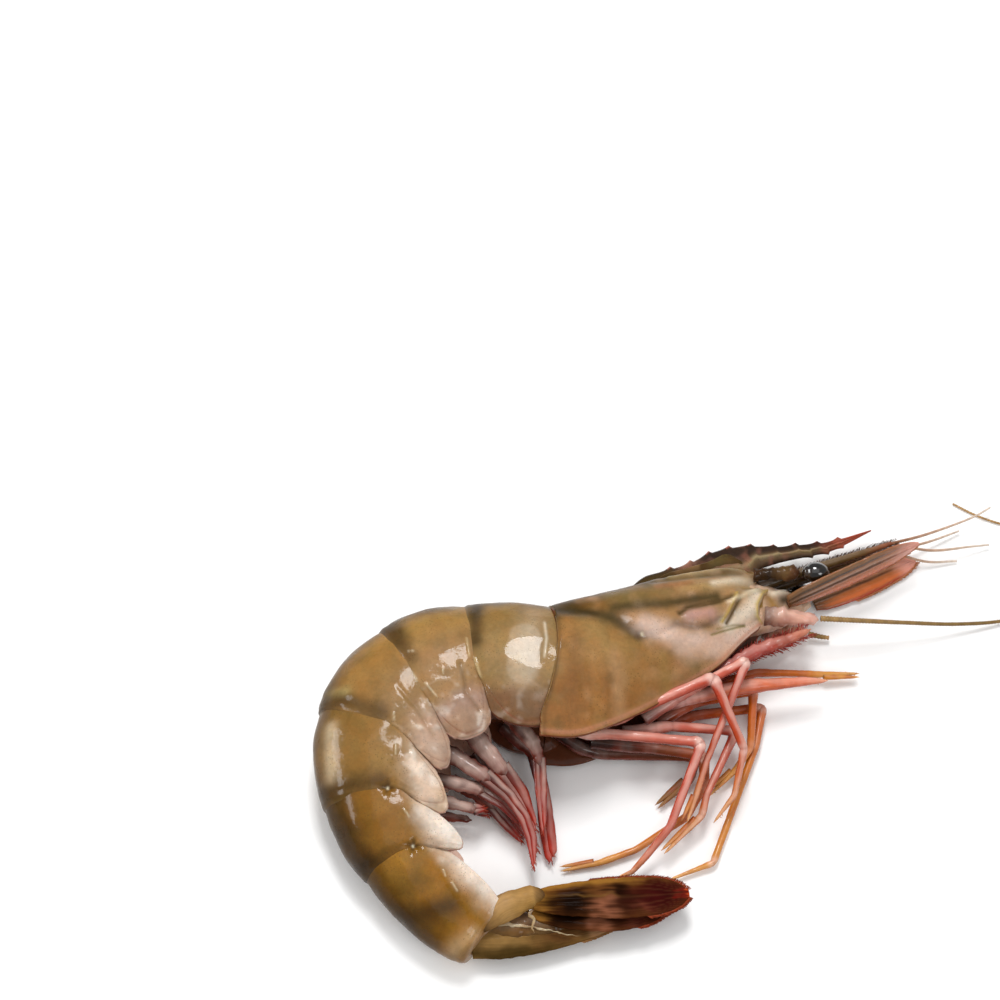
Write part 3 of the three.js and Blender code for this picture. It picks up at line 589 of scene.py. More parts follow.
def ringGrid(index):  # plain skin of a ring, its points' heights on the back and shares along the ring
    length, belly = tail["length"][index], tail["belly"][index]
    lap = tail["overlap"] / length
    start = -0.16 if index == 0 else 0.02 - lap * 0.4
    end = 1.0 if index == 5 else 1 + lap
    begin = hingePlace(index)
    rings, us, alongs = [], [], []
    for t in np.linspace(start, end, int(length * (end - start) * tail["stepsPerMm"])):
        along = (t - start) / (end - start)
        lobe = max(1 - abs(2 * along - 1) ** 2.4, 0) ** 0.55
        tuck = mix(0.965, 1, along)
        drop = mix(belly * 0.96, tail["flap"][index], lobe)
        half = sectionHalf(ringValue("back", index, t) * tuck, ringValue("halfWidth", index, t) * tuck,
                           drop, belly * 0.94)
        ring, u = bodyRing(axisPlace(index, np.array([t]), begin)[0], ringValue("height", index, t),
                           ringValue("rimHeading", index, t), ringValue("flapHeading", index, t), half, drop)
        rings.append(ring)
        us.append(u)
        alongs.append(np.full(len(u), along))
    return np.array(rings), np.array(us), np.array(alongs), length * (end - start)


def addTailMarks(index, rings, outside, tone, relief):
    plan = rings[..., :2] - neck[:2]
    for kind, path, width, colour, strength, height in tailMarks[index]:
        if kind == "glint":
            width, strength, height = [a * b for a, b in zip((width, strength, height), tail["glint"])]
        d = nearness(plan, path)
        wobble = 1 + 0.3 * cloud(rings, 2.4, 60 + len(path)) * (kind in ("band", "shade", "patch"))
        mask = np.exp(-(d / (width * wobble)) ** (2 if kind != "band" else 2.4))
        if kind == "highlight_window":  # a hard-edged painted highlight, a window of light on the shell
            edge = smooth(width * (1 + 0.06 * cloud(rings, 3.0, 65)) - d, -0.3, 0.7)
            mask = edge * (0.85 + 0.25 * cloud(rings, 1.1, 66))
        tone = paintOver(tone, [(colour, mask * strength * outside)])
        relief = relief + height * hill(d, width) * outside
    return tone, relief


def makeRing(index):
    rings, u, along, lengthMm = ringGrid(index)
    fromRear = (1 - along) * lengthMm
    flapDepth, high, paint = tail["flap"][index], tail["back"][index], tail["colours"]
    outside = outsideMask(u)

    lying = np.exp(-((u - 1) / 9) ** 4)  # there the rear edge lies down on the next ring
    lobe = smooth(-u, flapDepth * 0.32, flapDepth * 0.55)
    crumple = (1 - np.abs(cloud(rings * [1, 1, 0.6], 3.4, 30 + index))) ** 4
    crumpled = hill(u + 4.5, 4.5) * tail["crumple"][index]
    whorl = cloud(rings * [1, 1, 0.7], 2.3, 80 + index) + 0.4 * cloud(rings, 1.1, 82 + index)
    folded = smooth(-u, 2.0, 5.5) * outside * tail["whorls"][index]  # where the flaps show swirls: flesh showing through, with painted highlight on the bumps and painted shade between
    relief = tail["lump"] * cloud(rings, 5.0, index) + 0.035 * cloud(rings, 1.6, index + 9)
    relief += tail["bulge"] * (1 - (2 * along - 1) ** 2)
    relief += tail["rimLip"] * hill(fromRear - 0.55, 0.35) - 0.06 * hill(fromRear - 1.5, 0.5)
    relief -= 0.3 * hill(fromRear, 0.5) + 0.36 * lying * hill(fromRear, 1.6)
    relief += 0.2 * lobe * np.sin(np.clip(along, 0, 1) * math.pi) * smooth(-u, 0, flapDepth) \
        * (1 - smooth(-u, flapDepth * 0.84, flapDepth))
    relief -= 0.16 * hill(u + flapDepth * 0.42, 1.6) * smooth(along, 0.05, 0.4)
    relief += 0.2 * (crumple - 0.4) * crumpled + 0.13 * whorl * folded

    back, flank, flap = tailTones[index]
    fadeFrom, fadeTo = tail["flapFade"][index]
    tone = paintOver(np.ones(rings.shape) * linear(back), [
        (flank, 1 - smooth(u, 1, 11) + 0.15 * cloud(rings, 4, 3)),
        (flap, smooth(-u + 0.8 * cloud(rings, 3.2, 63), fadeFrom, flapDepth * fadeTo) * 0.95),
        (paint["amber"], 0.24 * smooth(cloud(rings, 6.5, 20 + index), 0.05, 0.7)),
        (paint["moss"], 0.3 * smooth(cloud(rings, 4.2, 40 + index), 0.1, 0.8) * (1 - smooth(-u, 2, 7))),
        (paint["swirlShade"], 0.4 * smooth(-whorl, 0.1, 0.9) * folded),
        (paint["swirlHighlight"], 0.42 * smooth(whorl, 0.1, 0.9) * folded),
    ])
    tone, relief = addTailMarks(index, rings, outside, tone, relief)
    lower = u + flapDepth * np.maximum(1 - np.abs(2 * along - 1) ** 2.4, 0) ** 0.55
    # just inside the free edge
    flapLine = hill(lower - 0.6, 0.3) * (u < -4) * outside * (1.0 if index < 4 else 0.3)
    relief -= 0.1 * flapLine
    rearRim = hill(fromRear - 0.5, 0.4) * (1 - lobe) * (1 - 0.75 * lying) * outside
    tiger = hill(fromRear - 2.0, 1.7) + 0.35 * hill(along - 0.42, 0.07)  # dark bands over the back
    tone = paintOver(tone, [
        (paint["flapLine"], (0.42 + 0.35 * cloud(rings, 2.2, 86)) * flapLine),
        (paint["rearRim"], 0.4 * rearRim),
        # pale on the crumpled ridges: partly white veins, partly painted highlight
        (paint["crease"], 0.14 * smooth(crumple, 0.45, 0.95) * crumpled * outside),
        (paint["top"], 0.85 * smooth(u + 1.2 * cloud(rings, 5, 33), high * tail["darkTop"][index],
                                     high) * outside),
        (paint["tiger"], 0.55 * tiger * smooth(u + 1.5 * cloud(rings, 3.5, 35), high * 0.35,
                                               high * 0.75) * outside),
    ])
    if tail["paleFrom"][index]:
        pale = smooth(-u + 2.2 * cloud(rings, 3.4, 61), tail["paleFrom"][index], 12.0)
        tone = paintOver(tone, [(paint["pale"], pale * 0.95)])
    tone = paintOver(tone, [(tail["inside"][index], ~outside * 0.85)])
    if index == 0:
        # painted shade on ring 1's far flap under the body, over its own dark red-brown
        tone = paintOver(tone, [(paint["farFlap"], 0.7 * farSide(u, 4, 13))])
    for centre in [starCreases[index], starCreases[index - 1] if index else None]:
        if centre:
            dent, heart = starDent(rings[..., :2] - neck[:2], centre)
            relief -= 0.75 * dent * outside
            tone = paintOver(tone, [(paint["dent"], 0.8 * dent * outside),
                                    (paint["dentHeart"], 0.9 * heart * outside)])

    moved = (outside | (u > -flapDepth * 0.9)) * (rings[..., 2] > 0.4)
    rings = rings + gridNormals(rings) * (relief * moved)[..., None]
    if index == 0:
        facet = tail["facet"]
        proud = rings[..., 2] - facet["height"]
        near = smooth(facet["reach"] - nearness(rings[..., :2] - neck[:2], facet["path"]), -0.2, 1.3)
        rings[..., 2] -= np.maximum(proud, 0) * (1 - facet["left"]) * near
    rings[..., 2] = np.maximum(rings[..., 2], 0)
    return tube(rings, toneWithWetness(tone, u, high, tail))


for index in range(6):
    addPiece("tail_ring_%d" % (index + 1), makeRing(index), tailShell,
             ["abdomen_%d" % (index + 1)])
print("tail rings made")


# Head shell
head = {
    "heading": 21.6, "sink": 0.105, "rearBow": 1.7, "front": 51,
    "back": [[0, 14.6], [15, 13.2], [30, 12.1], [41, 10.2], [47, 7.4], [51, 4.6]],
    "drop": [[0, 16.2], [6, 18.9], [11, 19.3], [20, 18.2], [28, 16.2], [37, 13.2], [43, 9.8], [51, 6]],
    "halfWidth": [[0, 12.4], [15, 11.6], [30, 10.3], [41, 8.4], [47, 6.4], [51, 4.2]],
    "belly": [[0, 9.8], [6, 11.5], [20, 11], [30, 9.6], [41, 6.6], [51, 4]],
    "steps": 230, "dry": 0.92, "dryFrom": (0.3, 0.66),
    # share of the full section and shift in mm of the rings that turn each edge in
    "rearEdge": [(0.55, 0.9), (0.9, 1.0), (0.955, 0.05)], "frontEdge": [(0.9, 0.05), (0.8, -0.9),
                                                                        (0.55, -0.6)],
    "marksGain": 1.35, "marksMost": 0.95,
    "softMarks": ("valley", "gill", "shade", "bloom", "swell"),  # these have cloudy borders
    "colours": {"back": "#66471c", "flank": "#916a3c", "lower": "#80542a", "front": "#b08e6c",
                "top": "#3a2607",
                "rust": "#99693a", "moss": "#6a5c34", "flesh": "#c7a58c", "mud": "#5f4a28", "sand": "#b98e66",
                "rim": "#b87c64", "rearLine": "#4d3618", "rearEdge": "#b99a6e", "inside": "#6b3520",
                "farFlap": "#4a2415"},
}
beak = {
    "upper": [[20, 12.9], [27, 14.2], [33, 14.0], [38, 13.9], [44, 14.7], [50, 14.1], [54, 12.8], [58, 11.3],
              [63, 10.1], [67, 9.1], [71, 8.6], [79, 8.4]],
    "lower": [[20, 6], [48, 7.0], [52, 7.6], [57, 7.6], [63, 7.0], [68, 6.5], [72, 6.9], [75, 7.4],
              [79, 8.1]],
    "thick": [[20, 2.4], [33, 2.6], [48, 2.1], [60, 1.5], [79, 0.7]],
    "upperTeeth": (9, 30, 72, 0.7), "lowerTeeth": (3, 61, 72, 0.6),  # count, from, to, height in mm
    "start": 18, "end": 79, "columns": 460, "rows": 34,
    "colours": {"edge": "#271812", "side": "#5a4430", "tip": "#b0503c", "rib": "#a08c68", "blush": "#8c5a4a",
                "crest": "#4a3818", "toothTip": "#b9695a", "knuckle": "#b07a66"},
}
# Paint and carving of the head, in plan places in mm from the neck:
# kind, path, half width, colour, strength, relief in mm.
# The dark valley and groove marks are painted shade in the hollows, over the shell's own darker colour there;
# the pit's pale dot is a painted glint.
headMarks = [
    ("valley", [(1.0, 11.4), (8.6, 10.2), (13.2, 8.6), (18.6, 5.2)], 1.9, "#33270f", 0.8, -0.5),
    ("shade", [(14, 11.5), (24.7, 12.9), (30.4, 14.2), (35.5, 15.6)], 1.5, "#43351a", 0.75, -0.15),
    ("groove", [(19, 4.8), (23.2, 5.6), (27.0, 8.2), (30.9, 7.8), (34.0, 9.0), (36.6, 10.6)],
     0.8, "#4d3518", 0.6, -0.5),
    ("pit", [(19.6, 5.5)], 0.35, "#efe6c4", 0.8, -0.3),
    ("swell", [(9, 4), (17, -1)], 4.5, "#a08452", 0.25, 0.4),
    ("swell", [(13, 15), (24, 16)], 2.4, "#7f6840", 0.4, 0.35),
    ("bloom", [(20, 7.6), (28, 5.2), (35, 5.0), (44, 10)], 2.6, "#c9ac9e", 0.7, 0),
    ("bloom", [(28.3, 2.8), (37.8, 4.9)], 2.0, "#c3a08c", 0.5, 0),
    ("lump", [(29.3, 10.2), (34.0, 11.4)], 1.6, "#b58a80", 0.65, 0.5),
    ("groove", [(27.5, 10.6), (29.4, 12.2), (32.5, 13.1), (36.1, 14.5), (39.0, 16.2)], 0.6, "#493618", 0.7,
     -0.4),
    ("white", [(37.8, 9.4), (42.0, 13.0), (44.6, 17.2)], 1.7, "#dccdbd", 0.62, 0.1),
    ("spine", [(40.0, 17.1), (38.0, 12.6), (36.5, 9.9)], 0.36, "#a38848", 0.85, 0.5),
    ("groove", [(41.0, 16.6), (39.0, 12.4), (37.6, 9.8)], 0.45, "#4a3718", 0.8, -0.4),
    ("ribbon", [(38.0, 14.6), (40.8, 16.4), (45.0, 19.4)], 0.5, "#d8c6aa", 0.5, 0.35),
    ("edge", [(47.3, 20.4), (45.3, 17.9), (44.1, 15.4), (44.1, 13.2), (45.7, 12.2), (47.6, 11.9)],
     0.36, "#b9a062", 0.85, 0.4),
    ("groove", [(46.4, 17.6), (45.3, 15.2), (45.5, 13.4)], 0.5, "#7a5a20", 0.7, -0.4),
    ("line", [(34.3, 6.8), (38.5, 8.8), (41.6, 10.4)], 0.26, "#6e6434", 0.6, -0.22),
    ("line", [(35.5, 8.2), (39.5, 9.9), (41.6, 10.4)], 0.24, "#6e6434", 0.45, -0.15),
    ("patch", [(46.9, 17.0), (48.2, 14.6)], 1.3, "#84591c", 0.85, 0),
    ("ridge", [(25.8, 20.9), (32.1, 22.3), (37.5, 23.8), (42, 24.4)], 0.6, "#a68f68", 0.5, 0.35),
    ("groove", [(24, 22.6), (32, 24.2), (38, 25.6), (43, 26.2)], 0.9, "#3f2d16", 0.75, -0.3),
    ("groove", [(22, 19.2), (32, 20.9), (41, 22.6)], 0.7, "#5f4c2a", 0.5, -0.2),
    ("rust", [(28.6, 17.0), (35.6, 18.4), (42.6, 20.0)], 0.9, "#a08052", 0.5, 0.1),
    ("rust", [(23, 17.4), (30, 18.8)], 0.9, "#8f5c36", 0.45, 0),
    ("white", [(35, 18.9), (39.5, 20.3), (43.5, 21.2)], 1.0, "#d3c3ae", 0.5, 0.1),
    ("shade", [(0, 15.4), (12, 17.6), (22, 21.4)], 1.6, "#43321a", 0.6, 0),
    ("gill", [(5.2, 4), (5.0, -14)], 1.8, "#80552e", 0.42, 0),
    ("gill", [(9.6, 2), (10.0, -14)], 1.5, "#9a6c3c", 0.36, 0),
    ("gill", [(13.8, 0), (14.6, -12)], 1.6, "#a8805a", 0.42, 0.06),
    ("gill", [(19.0, 1), (19.4, -9)], 1.8, "#8c6236", 0.4, 0),
    ("gill", [(24.0, 1), (24.6, -6)], 1.4, "#8a6c3a", 0.35, 0.05),
]


def headPlace(x, u, w):  # x forward, u towards the back, w to the right side, in mm
    plan = neck[:2] + np.multiply.outer(x, heading(head["heading"])) \
        + np.multiply.outer(u, heading(head["heading"] + 90))
    return np.concatenate([plan, np.maximum(neck[2] - head["sink"] * x + w, 0)[..., None]], -1)


def headBow(u, swing, notch):  # the rear edge swings forward, the front dips at the eye
    rear = swing * np.maximum(1 - ((u - 3) / 10) ** 2, -1.3)
    eyeBay = -notch * hill(u - 3.0, 1.5)
    cheek = -notch * 0.8 * smooth(-u, 1.5, 6)
    return rear + eyeBay + cheek


def headGrid():  # plain skin of the head shell, its points' heights on the back and places along it
    forward, front = heading(head["heading"]), head["front"]
    stations = [(0.0, *edge) for edge in head["rearEdge"]]
    stations += [(x, 1.0, 0.0) for x in np.linspace(0, front, head["steps"])]
    stations += [(front, *edge) for edge in head["frontEdge"]]
    rings, us, xs = [], [], []
    for x, scale, shift in stations:
        facing = mix(180, 185, x / front)
        drop, high, wide, belly = [float(profile(head[key], x)) for key in ("drop", "back", "halfWidth",
                                                                            "belly")]
        top = mix(high - 2, profile(beak["upper"], x) - 0.7, smooth(x, 14, 29))
        top = mix(top, high + 0.2, smooth(x, 41, 49.5))  # the beak takes over from the crest
        half = sectionHalf(high, wide, drop, belly, crest=(top, float(profile(beak["thick"], x)) * 0.7))
        half = half * scale * (1 - 0.1 * smooth(x, 49.6, front))
        ring, u = bodyRing(neck[:2] + (x + shift) * forward, neck[2] - head["sink"] * x, facing, facing, half,
                           drop)
        bow = headBow(u, head["rearBow"] * max(1 - x / 12, 0), 3.2 * smooth(x, 38, 51))
        ring[:, :2] += bow[:, None] * forward
        rings.append(ring)
        us.append(u)
        xs.append(np.full(len(u), x))
    return np.array(rings), np.array(us), np.array(xs)


def makeHeadShell():
    rings, u, x = headGrid()
    plan, paint = rings[..., :2] - neck[:2], head["colours"]
    outside = outsideMask(u)
    outside[:len(head["rearEdge"])] = False
    outside[-len(head["frontEdge"]):] = False

    relief = 0.16 * cloud(rings, 5.5, 70) + 0.05 * cloud(rings, 1.5, 71)
    relief += 0.03 * hill(x - 0.8, 0.5) - 0.35 * hill(x, 0.7)
    tone = paintOver(np.ones(rings.shape) * linear(paint["back"]), [
        (paint["flank"], 1 - smooth(u, 2, 11)),
        (paint["lower"], smooth(-u, 2, 11) * 0.9),
        (paint["front"], 0.4 * smooth(x, 18, 40)),
        (paint["top"], 0.86 * smooth(u + 1.2 * cloud(rings, 5, 76), 7.4 - 0.05 * x, 13 - 0.08 * x)),
        (paint["rust"], 0.4 * smooth(cloud(rings, 5.5, 72), 0.05, 0.7) * (1 - smooth(x, 20, 34))),
        (paint["moss"], 0.42 * smooth(cloud(rings, 4.5, 73), 0.1, 0.8)),
        (paint["flesh"], 0.3 * smooth(cloud(rings, 3.5, 74), 0.2, 0.9) * smooth(x, 12, 30)),
        (paint["mud"], 0.34 * smooth(cloud(rings, 2.4, 77), 0.05, 0.75)),
        (paint["sand"], 0.3 * smooth(cloud(rings * [1, 1, 0.6], 2.9, 78), 0.05, 0.75)),
    ])
    for kind, path, width, colour, strength, height in headMarks:
        d = nearness(plan, path)
        wobble = 1 + (0.32 if kind in head["softMarks"] else 0.12) * cloud(rings, 2.6, 75)
        strength = min(strength * head["marksGain"], head["marksMost"])
        tone = paintOver(tone, [(colour, hill(d, width * wobble) * strength * outside)])
        relief += height * hill(d, width) * outside
    lower = u + profile(head["drop"], x)
    rim = hill(lower - 0.7, 0.45) * outside
    relief += 0.06 * rim - 0.08 * hill(lower - 1.9, 0.5) * outside
    tone = paintOver(tone, [
        (paint["rim"], 0.55 * rim),
        (paint["rearLine"], 0.45 * hill(x - 0.9, 0.45) * outside),
        # a thin pale painted glint on the very rear edge of the head shell
        (paint["rearEdge"], 0.3 * hill(x - 0.3, 0.2) * outside),
        (paint["inside"], ~outside * 0.85),
        # painted shade: the far flap under the body, darker the lower it lies, over its own dark red-brown
        (paint["farFlap"], 0.75 * farSide(u, 5, 14)),
    ])
    rings = rings + gridNormals(rings) * (relief * outside * (rings[..., 2] > 0.4))[..., None]
    rings[..., 2] = np.maximum(rings[..., 2], 0)
    return tube(rings, toneWithWetness(tone, u, profile(head["back"], x), head))


addPiece("head_shell", makeHeadShell(), headShell, ["carapace"])
print("head shell made")

# The face under the front edge: soft skin that the stalks, scales and feelers come out of.
face = {
    "middle": [[41, 0.5], [46, 0.0], [50, -1.0], [53, -1.9], [56, -2.8], [59, -3.4]],
    "high": [[41, 6.5], [46, 6.4], [50, 5.3], [53, 4.1], [56, 2.7], [59, 0.7]],
    "wide": [[41, 5.0], [46, 5.3], [50, 4.3], [53, 3.7], [56, 2.7], [59, 0.6]],
    # path, half width, colour, strength
    "marks": [([(47.0, 17.6), (48.4, 14.6)], 1.5, "#8e6422", 0.85),
              ([(47.6, 18.8), (50.2, 19.6)], 0.9, "#d9cbb8", 0.8),
              ([(50.0, 17.4), (52.6, 18.6), (54.8, 19.6)], 1.3, "#2e2410", 0.9),
              ([(51, 20.8), (56, 21.8)], 0.9, "#e0cfc0", 0.8),
              ([(48.5, 11.5), (54, 13.2)], 1.8, "#e2bcae", 0.8),
              ([(47.2, 21.6), (52, 23.0)], 0.9, "#5a3c22", 0.7)],
    "from": 41, "to": 59, "rows": 90, "columns": 72, "skin": "#c6a48c", "stain": "#6d4a30",
    "foldMm": 0.3, "markMm": 0.25,
}


def circle(count):  # angles once round, as one row
    return np.linspace(0, 2 * math.pi, count, endpoint=False)[None, :]


def makeFace():
    x = np.linspace(face["from"], face["to"], face["rows"])
    q = circle(face["columns"])
    u = profile(face["middle"], x)[:, None] + profile(face["high"], x)[:, None] * np.cos(q)
    w = profile(face["wide"], x)[:, None] * np.sin(q)
    rings = headPlace(np.broadcast_to(x[:, None], u.shape), u, w)
    fold = (1 - np.abs(cloud(rings, 2.2, 93))) ** 3
    tone = np.ones(rings.shape) * linear(face["skin"])
    relief = face["foldMm"] * (fold - 0.4) + 0.08 * cloud(rings, 1.0, 94)
    for path, width, colour, strength in face["marks"]:
        mark = hill(nearness(rings[..., :2] - neck[:2], path), width)
        tone = paintOver(tone, [(colour, mark * strength)])
        relief += face["markMm"] * mark
    tone = paintOver(tone, [(face["stain"], 0.4 * smooth(cloud(rings, 1.6, 95), 0.1, 0.7))])
    return tube(rings + gridNormals(rings) * relief[..., None], tone)


addPiece("face_skin", makeFace(), softSkin)


# Beak: the crest runs out into a toothed blade
def teeth(x, count, first, last, height):  # saw edge leaning forward
    pitch = (last - first) / count
    k = (x - first) / pitch
    f = k - np.floor(k)
    rise = np.where(f < 0.86, (f / 0.86) ** 3.2, np.maximum(1 - (f - 0.86) / 0.14, 0) ** 1.2)
    return np.where((x > first) & (x < last), rise * height, 0)


def makeBeak():
    x = np.linspace(beak["start"], beak["end"], beak["columns"])
    shellTop = profile(head["back"], x)
    upper = mix(shellTop - 2, profile(beak["upper"], x), smooth(x, 16, 29)) + teeth(x, *beak["upperTeeth"])
    free = profile(beak["lower"], x)
    lower = mix(np.minimum(free, shellTop - 1.5), free, smooth(x, 47.5, 52.5)) - teeth(x, *beak["lowerTeeth"])
    lower = np.minimum(lower, upper - 0.25)
    s = np.linspace(0, 1, beak["rows"])[None, :]
    u = mix(lower[:, None], upper[:, None], s)
    lens = np.sqrt(np.maximum(1 - np.abs(2 * s - 1) ** 2.6, 0))
    rib = 0.35 * hill(s - 0.4, 0.09) - 0.22 * hill(s - 0.57, 0.08)
    w = profile(beak["thick"], x)[:, None] / 2 * lens * 0.92 + rib * lens * smooth(x, 36, 48)[:, None]
    w = w * smooth(beak["end"] + 0.4 - x, 0, 4)[:, None] ** 0.4
    along, share = np.broadcast_to(x[:, None], u.shape), np.broadcast_to(s, u.shape)
    rings = np.concatenate([headPlace(along, u, w), headPlace(along, u, -w)[:, -2:0:-1]], 1)
    share = np.concatenate([share, share[:, -2:0:-1]], 1)
    along = np.broadcast_to(x[:, None], share.shape)
    paint = beak["colours"]
    bare = smooth(along, 40, 50)  # ahead of the head shell
    return tube(rings, paintOver(np.ones(rings.shape) * linear(paint["side"]), [
        (paint["rib"], 0.7 * hill(share - 0.4, 0.1) * (1 - smooth(along, 62, 74)) * bare),
        (paint["edge"], smooth(share, 0.5, 0.72) * 0.9),
        (paint["edge"], (1 - smooth(share, 0.05, 0.24)) * smooth(along, 48, 56) * 0.8),
        (paint["blush"], 0.5 * smooth(cloud(rings, 2.2, 80), 0.0, 0.6) * smooth(along, 28, 44)),
        (paint["crest"], (1 - 0.7 * smooth(share, 0.8, 0.97)) * (1 - smooth(along, 26, 42))),
        (paint["tip"], smooth(along, 64, 77) * 0.85),
        (paint["toothTip"], 0.75 * smooth(share, 0.9, 1.0) * (teeth(along, *beak["upperTeeth"]) > 0.3)),
        (paint["knuckle"], 0.6 * smooth(share, 0.6, 0.95) * hill(along - 37.5, 2.2)),
    ]))


addPiece("beak", makeBeak(), beakShell, ["carapace"])
print("beak made")


# Limbs
def walk(start, pieces):  # the start and the end of each piece; pieces: heading, length, end height
    places = [np.array(start, float)]
    for degrees, length, height in pieces:
        places.append(np.r_[places[-1][:2] + length * heading(degrees), height])
    return np.array(places)


def jointPlaces(root, pieces, inward=0.0):  # root: mm from the neck, height
    places = walk([neck[0] + root[0], neck[1] + root[1], root[2]], pieces)
    way = places[1] - places[0]
    places[0] -= way / np.linalg.norm(way) * inward
    return places


def roundedPath(places, radii, perMm):  # samples with rounded knees: places, radius, mm to a joint, piece
    out = []
    count = len(places)
    far = 9  # mm, where there is no joint
    for k in range(count - 1):
        a, b = places[k], places[k + 1]
        length = np.linalg.norm(b - a)
        way = (b - a) / length
        low = min(radii[k] * 0.9, length * 0.35) if k else 0.0
        high = min(radii[k + 1] * 0.9, length * 0.35) if k + 2 < count else 0.0
        steps = max(int((length - low - high) * perMm), 3)
        for s in np.linspace(low, length - high, steps):
            near = min(s - low * 0.5 if k else far, length - high * 0.5 - s if k + 2 < count else far)
            out.append((a + way * s, mix(radii[k], radii[k + 1], s / length), near, k + s / length))
        if k + 2 < count:
            after = places[k + 2] - b
            afterLength = np.linalg.norm(after)
            reach = min(radii[k + 1] * 0.9, afterLength * 0.35)
            p0, p2 = b - way * high, b + after / afterLength * reach
            for q in (0.25, 0.5, 0.75):
                p = (1 - q) ** 2 * p0 + 2 * q * (1 - q) * b + q * q * p2
                out.append((p, radii[k + 1], reach * abs(q - 0.5), k + 1.0))
    return [np.array(column) for column in zip(*out)]


def crossAxes(path):
    way = np.gradient(path, axis=0)
    way /= np.linalg.norm(way, axis=1, keepdims=True)
    side = np.cross([0, 0, 1.0], way)
    side /= np.maximum(np.linalg.norm(side, axis=1, keepdims=True), 1e-6)
    top = np.cross(way, side)
    return way, side, top


limb = {"sides": 18, "perMm": 2.6, "knuckle": 0.17, "waist": 0.1, "tipMm": 1.4, "lump": 0.07, "pull": 0.06,
        "joint": "#efd3c6", "crease": "#8a3c2c", "top": "#f4d8ca", "blush": "#a03418", "flank": "#8a2a18"}


def makeLimb(places, radii, tones, flat=1.0, flutes=0, seed=0, jointed=1.0, blush=0.5, top=0.45,
             rootShade=7.0,
             lump=None, blushTone=None, edge=0.0):
    path, radius, near, piece = roundedPath(places, radii, limb["perMm"])
    ways = np.diff(places, axis=0)
    ways /= np.linalg.norm(ways, axis=1, keepdims=True)
    turns = np.degrees(np.arccos(np.clip((ways[1:] * ways[:-1]).sum(1), -1, 1)))
    # a knee shows more than a straight joint
    bent = np.r_[0, 0.08 + 0.92 * smooth(turns, 20, 50), 0] * jointed
    if len(places) > 5:
        bent[1:3] = np.maximum(bent[1:3], 0.3 * jointed ** 2)  # the short pieces next to the body
    joint = bent[np.clip(np.round(piece).astype(int), 0, len(bent) - 1)]
    radius = radius * (1 + joint * (limb["knuckle"] * hill(near - 0.9, 0.8) - limb["waist"] * hill(near,
                                                                                                   0.25)))
    done = lengthAlong(path)
    radius = radius * (1 - 0.8 * smooth(done, done[-1] - limb["tipMm"], done[-1]) ** 1.5)
    radius = radius * (1 + (lump or limb["lump"]) * cloud(path, 1.3 if lump else 2.6, seed + 3))
    _, side, up = crossAxes(path)
    q = circle(limb["sides"])
    r = radius[:, None] * (1 + limb["pull"] * np.cos(flutes * q) * (flutes > 0))
    rings = path[:, None, :] + (r * np.cos(q))[..., None] * side[:, None, :] \
        + (r * flat * np.sin(q))[..., None] * up[:, None, :]
    rings = rings + (lump or 0.03) * cloud(rings, 0.9, seed)[..., None]
    rings[..., 2] = np.maximum(rings[..., 2], tableGap)

    stops = np.array([linear(t) for t in tones])
    share = piece * (len(stops) - 1) / (len(places) - 1)
    low = np.clip(np.floor(share).astype(int), 0, max(len(stops) - 2, 0))
    tone = stops[low] + (stops[np.minimum(low + 1, len(stops) - 1)] - stops[low]) * (share - low)[:, None]
    fading = mix(1.0, 0.4, done / done[-1])[:, None]
    # painted highlight: a pale streak along the upper side of each limb, fading towards the tip
    lit = smooth(np.sin(q + 0.3 + 0.5 * cloud(path, 3, seed)[:, None]), 0.62, 0.98)  # the upper side is paler
    patchy = mix(0.55, 1.0, smooth(cloud(rings, 5.0, seed + 8), -0.5, 0.3))
    tone = paintOver(np.repeat(tone[:, None, :], limb["sides"], 1), [
        (blushTone or limb["blush"], blush * smooth(cloud(rings, 2.4, seed + 5), 0.0, 0.6)),
        # painted shade: deeper red at both sides of the tube
        (limb["flank"], edge * smooth(np.abs(np.cos(q)), 0.72, 1.0)),
        (limb["top"], top * fading * lit * patchy),
    ])
    # less light reaches in under the shell
    tone = tone * mix(0.5, 1.0, smooth(done, 0, rootShade))[:, None, None]
    tone = paintOver(tone, [
        (limb["joint"], (0.55 * joint * hill(near - 0.3, 0.6))[:, None]),
        (limb["crease"], (0.5 * joint * hill(near, 0.14))[:, None]),
    ])
    run = np.stack([np.broadcast_to(done[:, None], r.shape), r * q, np.full(r.shape, float(seed))], -1)
    return tube(rings, tone), run.reshape(-1, 3)


def addLimb(name, made, material, nodes):  # made: the parts, each with its mm along, mm round and piece
    runs = [np.concatenate([run, np.zeros((len(part[0]) - len(run), 3))]) for part, run in made]
    piece = addPiece(name, joinParts([part for part, run in made]), material, nodes)
    setValues(piece.data, "run", "FLOAT_VECTOR", np.concatenate(runs))
    return piece


hairs = []  # every bristle: place in mm, direction, length in mm, colour


# Marks places for bristles along a path. Leans is one direction, or one for each of even steps along it.
def sproutAlong(path, leans, count, length, colour, spread, seed, span=(0.0, 1.0)):
    dice = random.Random(seed)
    path, leans = np.asarray(path, float), np.atleast_2d(np.asarray(leans, float))
    done = lengthAlong(path)
    tint = linear(colour)
    for k in range(count):
        s = done[-1] * mix(span[0], span[1], (k + dice.random()) / count)
        place = np.array([np.interp(s, done, path[:, i]) for i in range(3)])
        lean = leans[int(s / done[-1] * (len(leans) - 1))]
        lean = lean + spread * np.array([dice.uniform(-1, 1) for _ in range(3)])
        lean /= np.linalg.norm(lean)
        size = length * dice.uniform(0.6, 1.15)
        if place[2] + lean[2] * size < hairGap:  # none goes through the table
            lean[2] = max((hairGap - place[2]) / size, 0.0)
            lean /= np.linalg.norm(lean)
        hairs.append((place, lean, size, tint * dice.uniform(0.75, 1.2)))


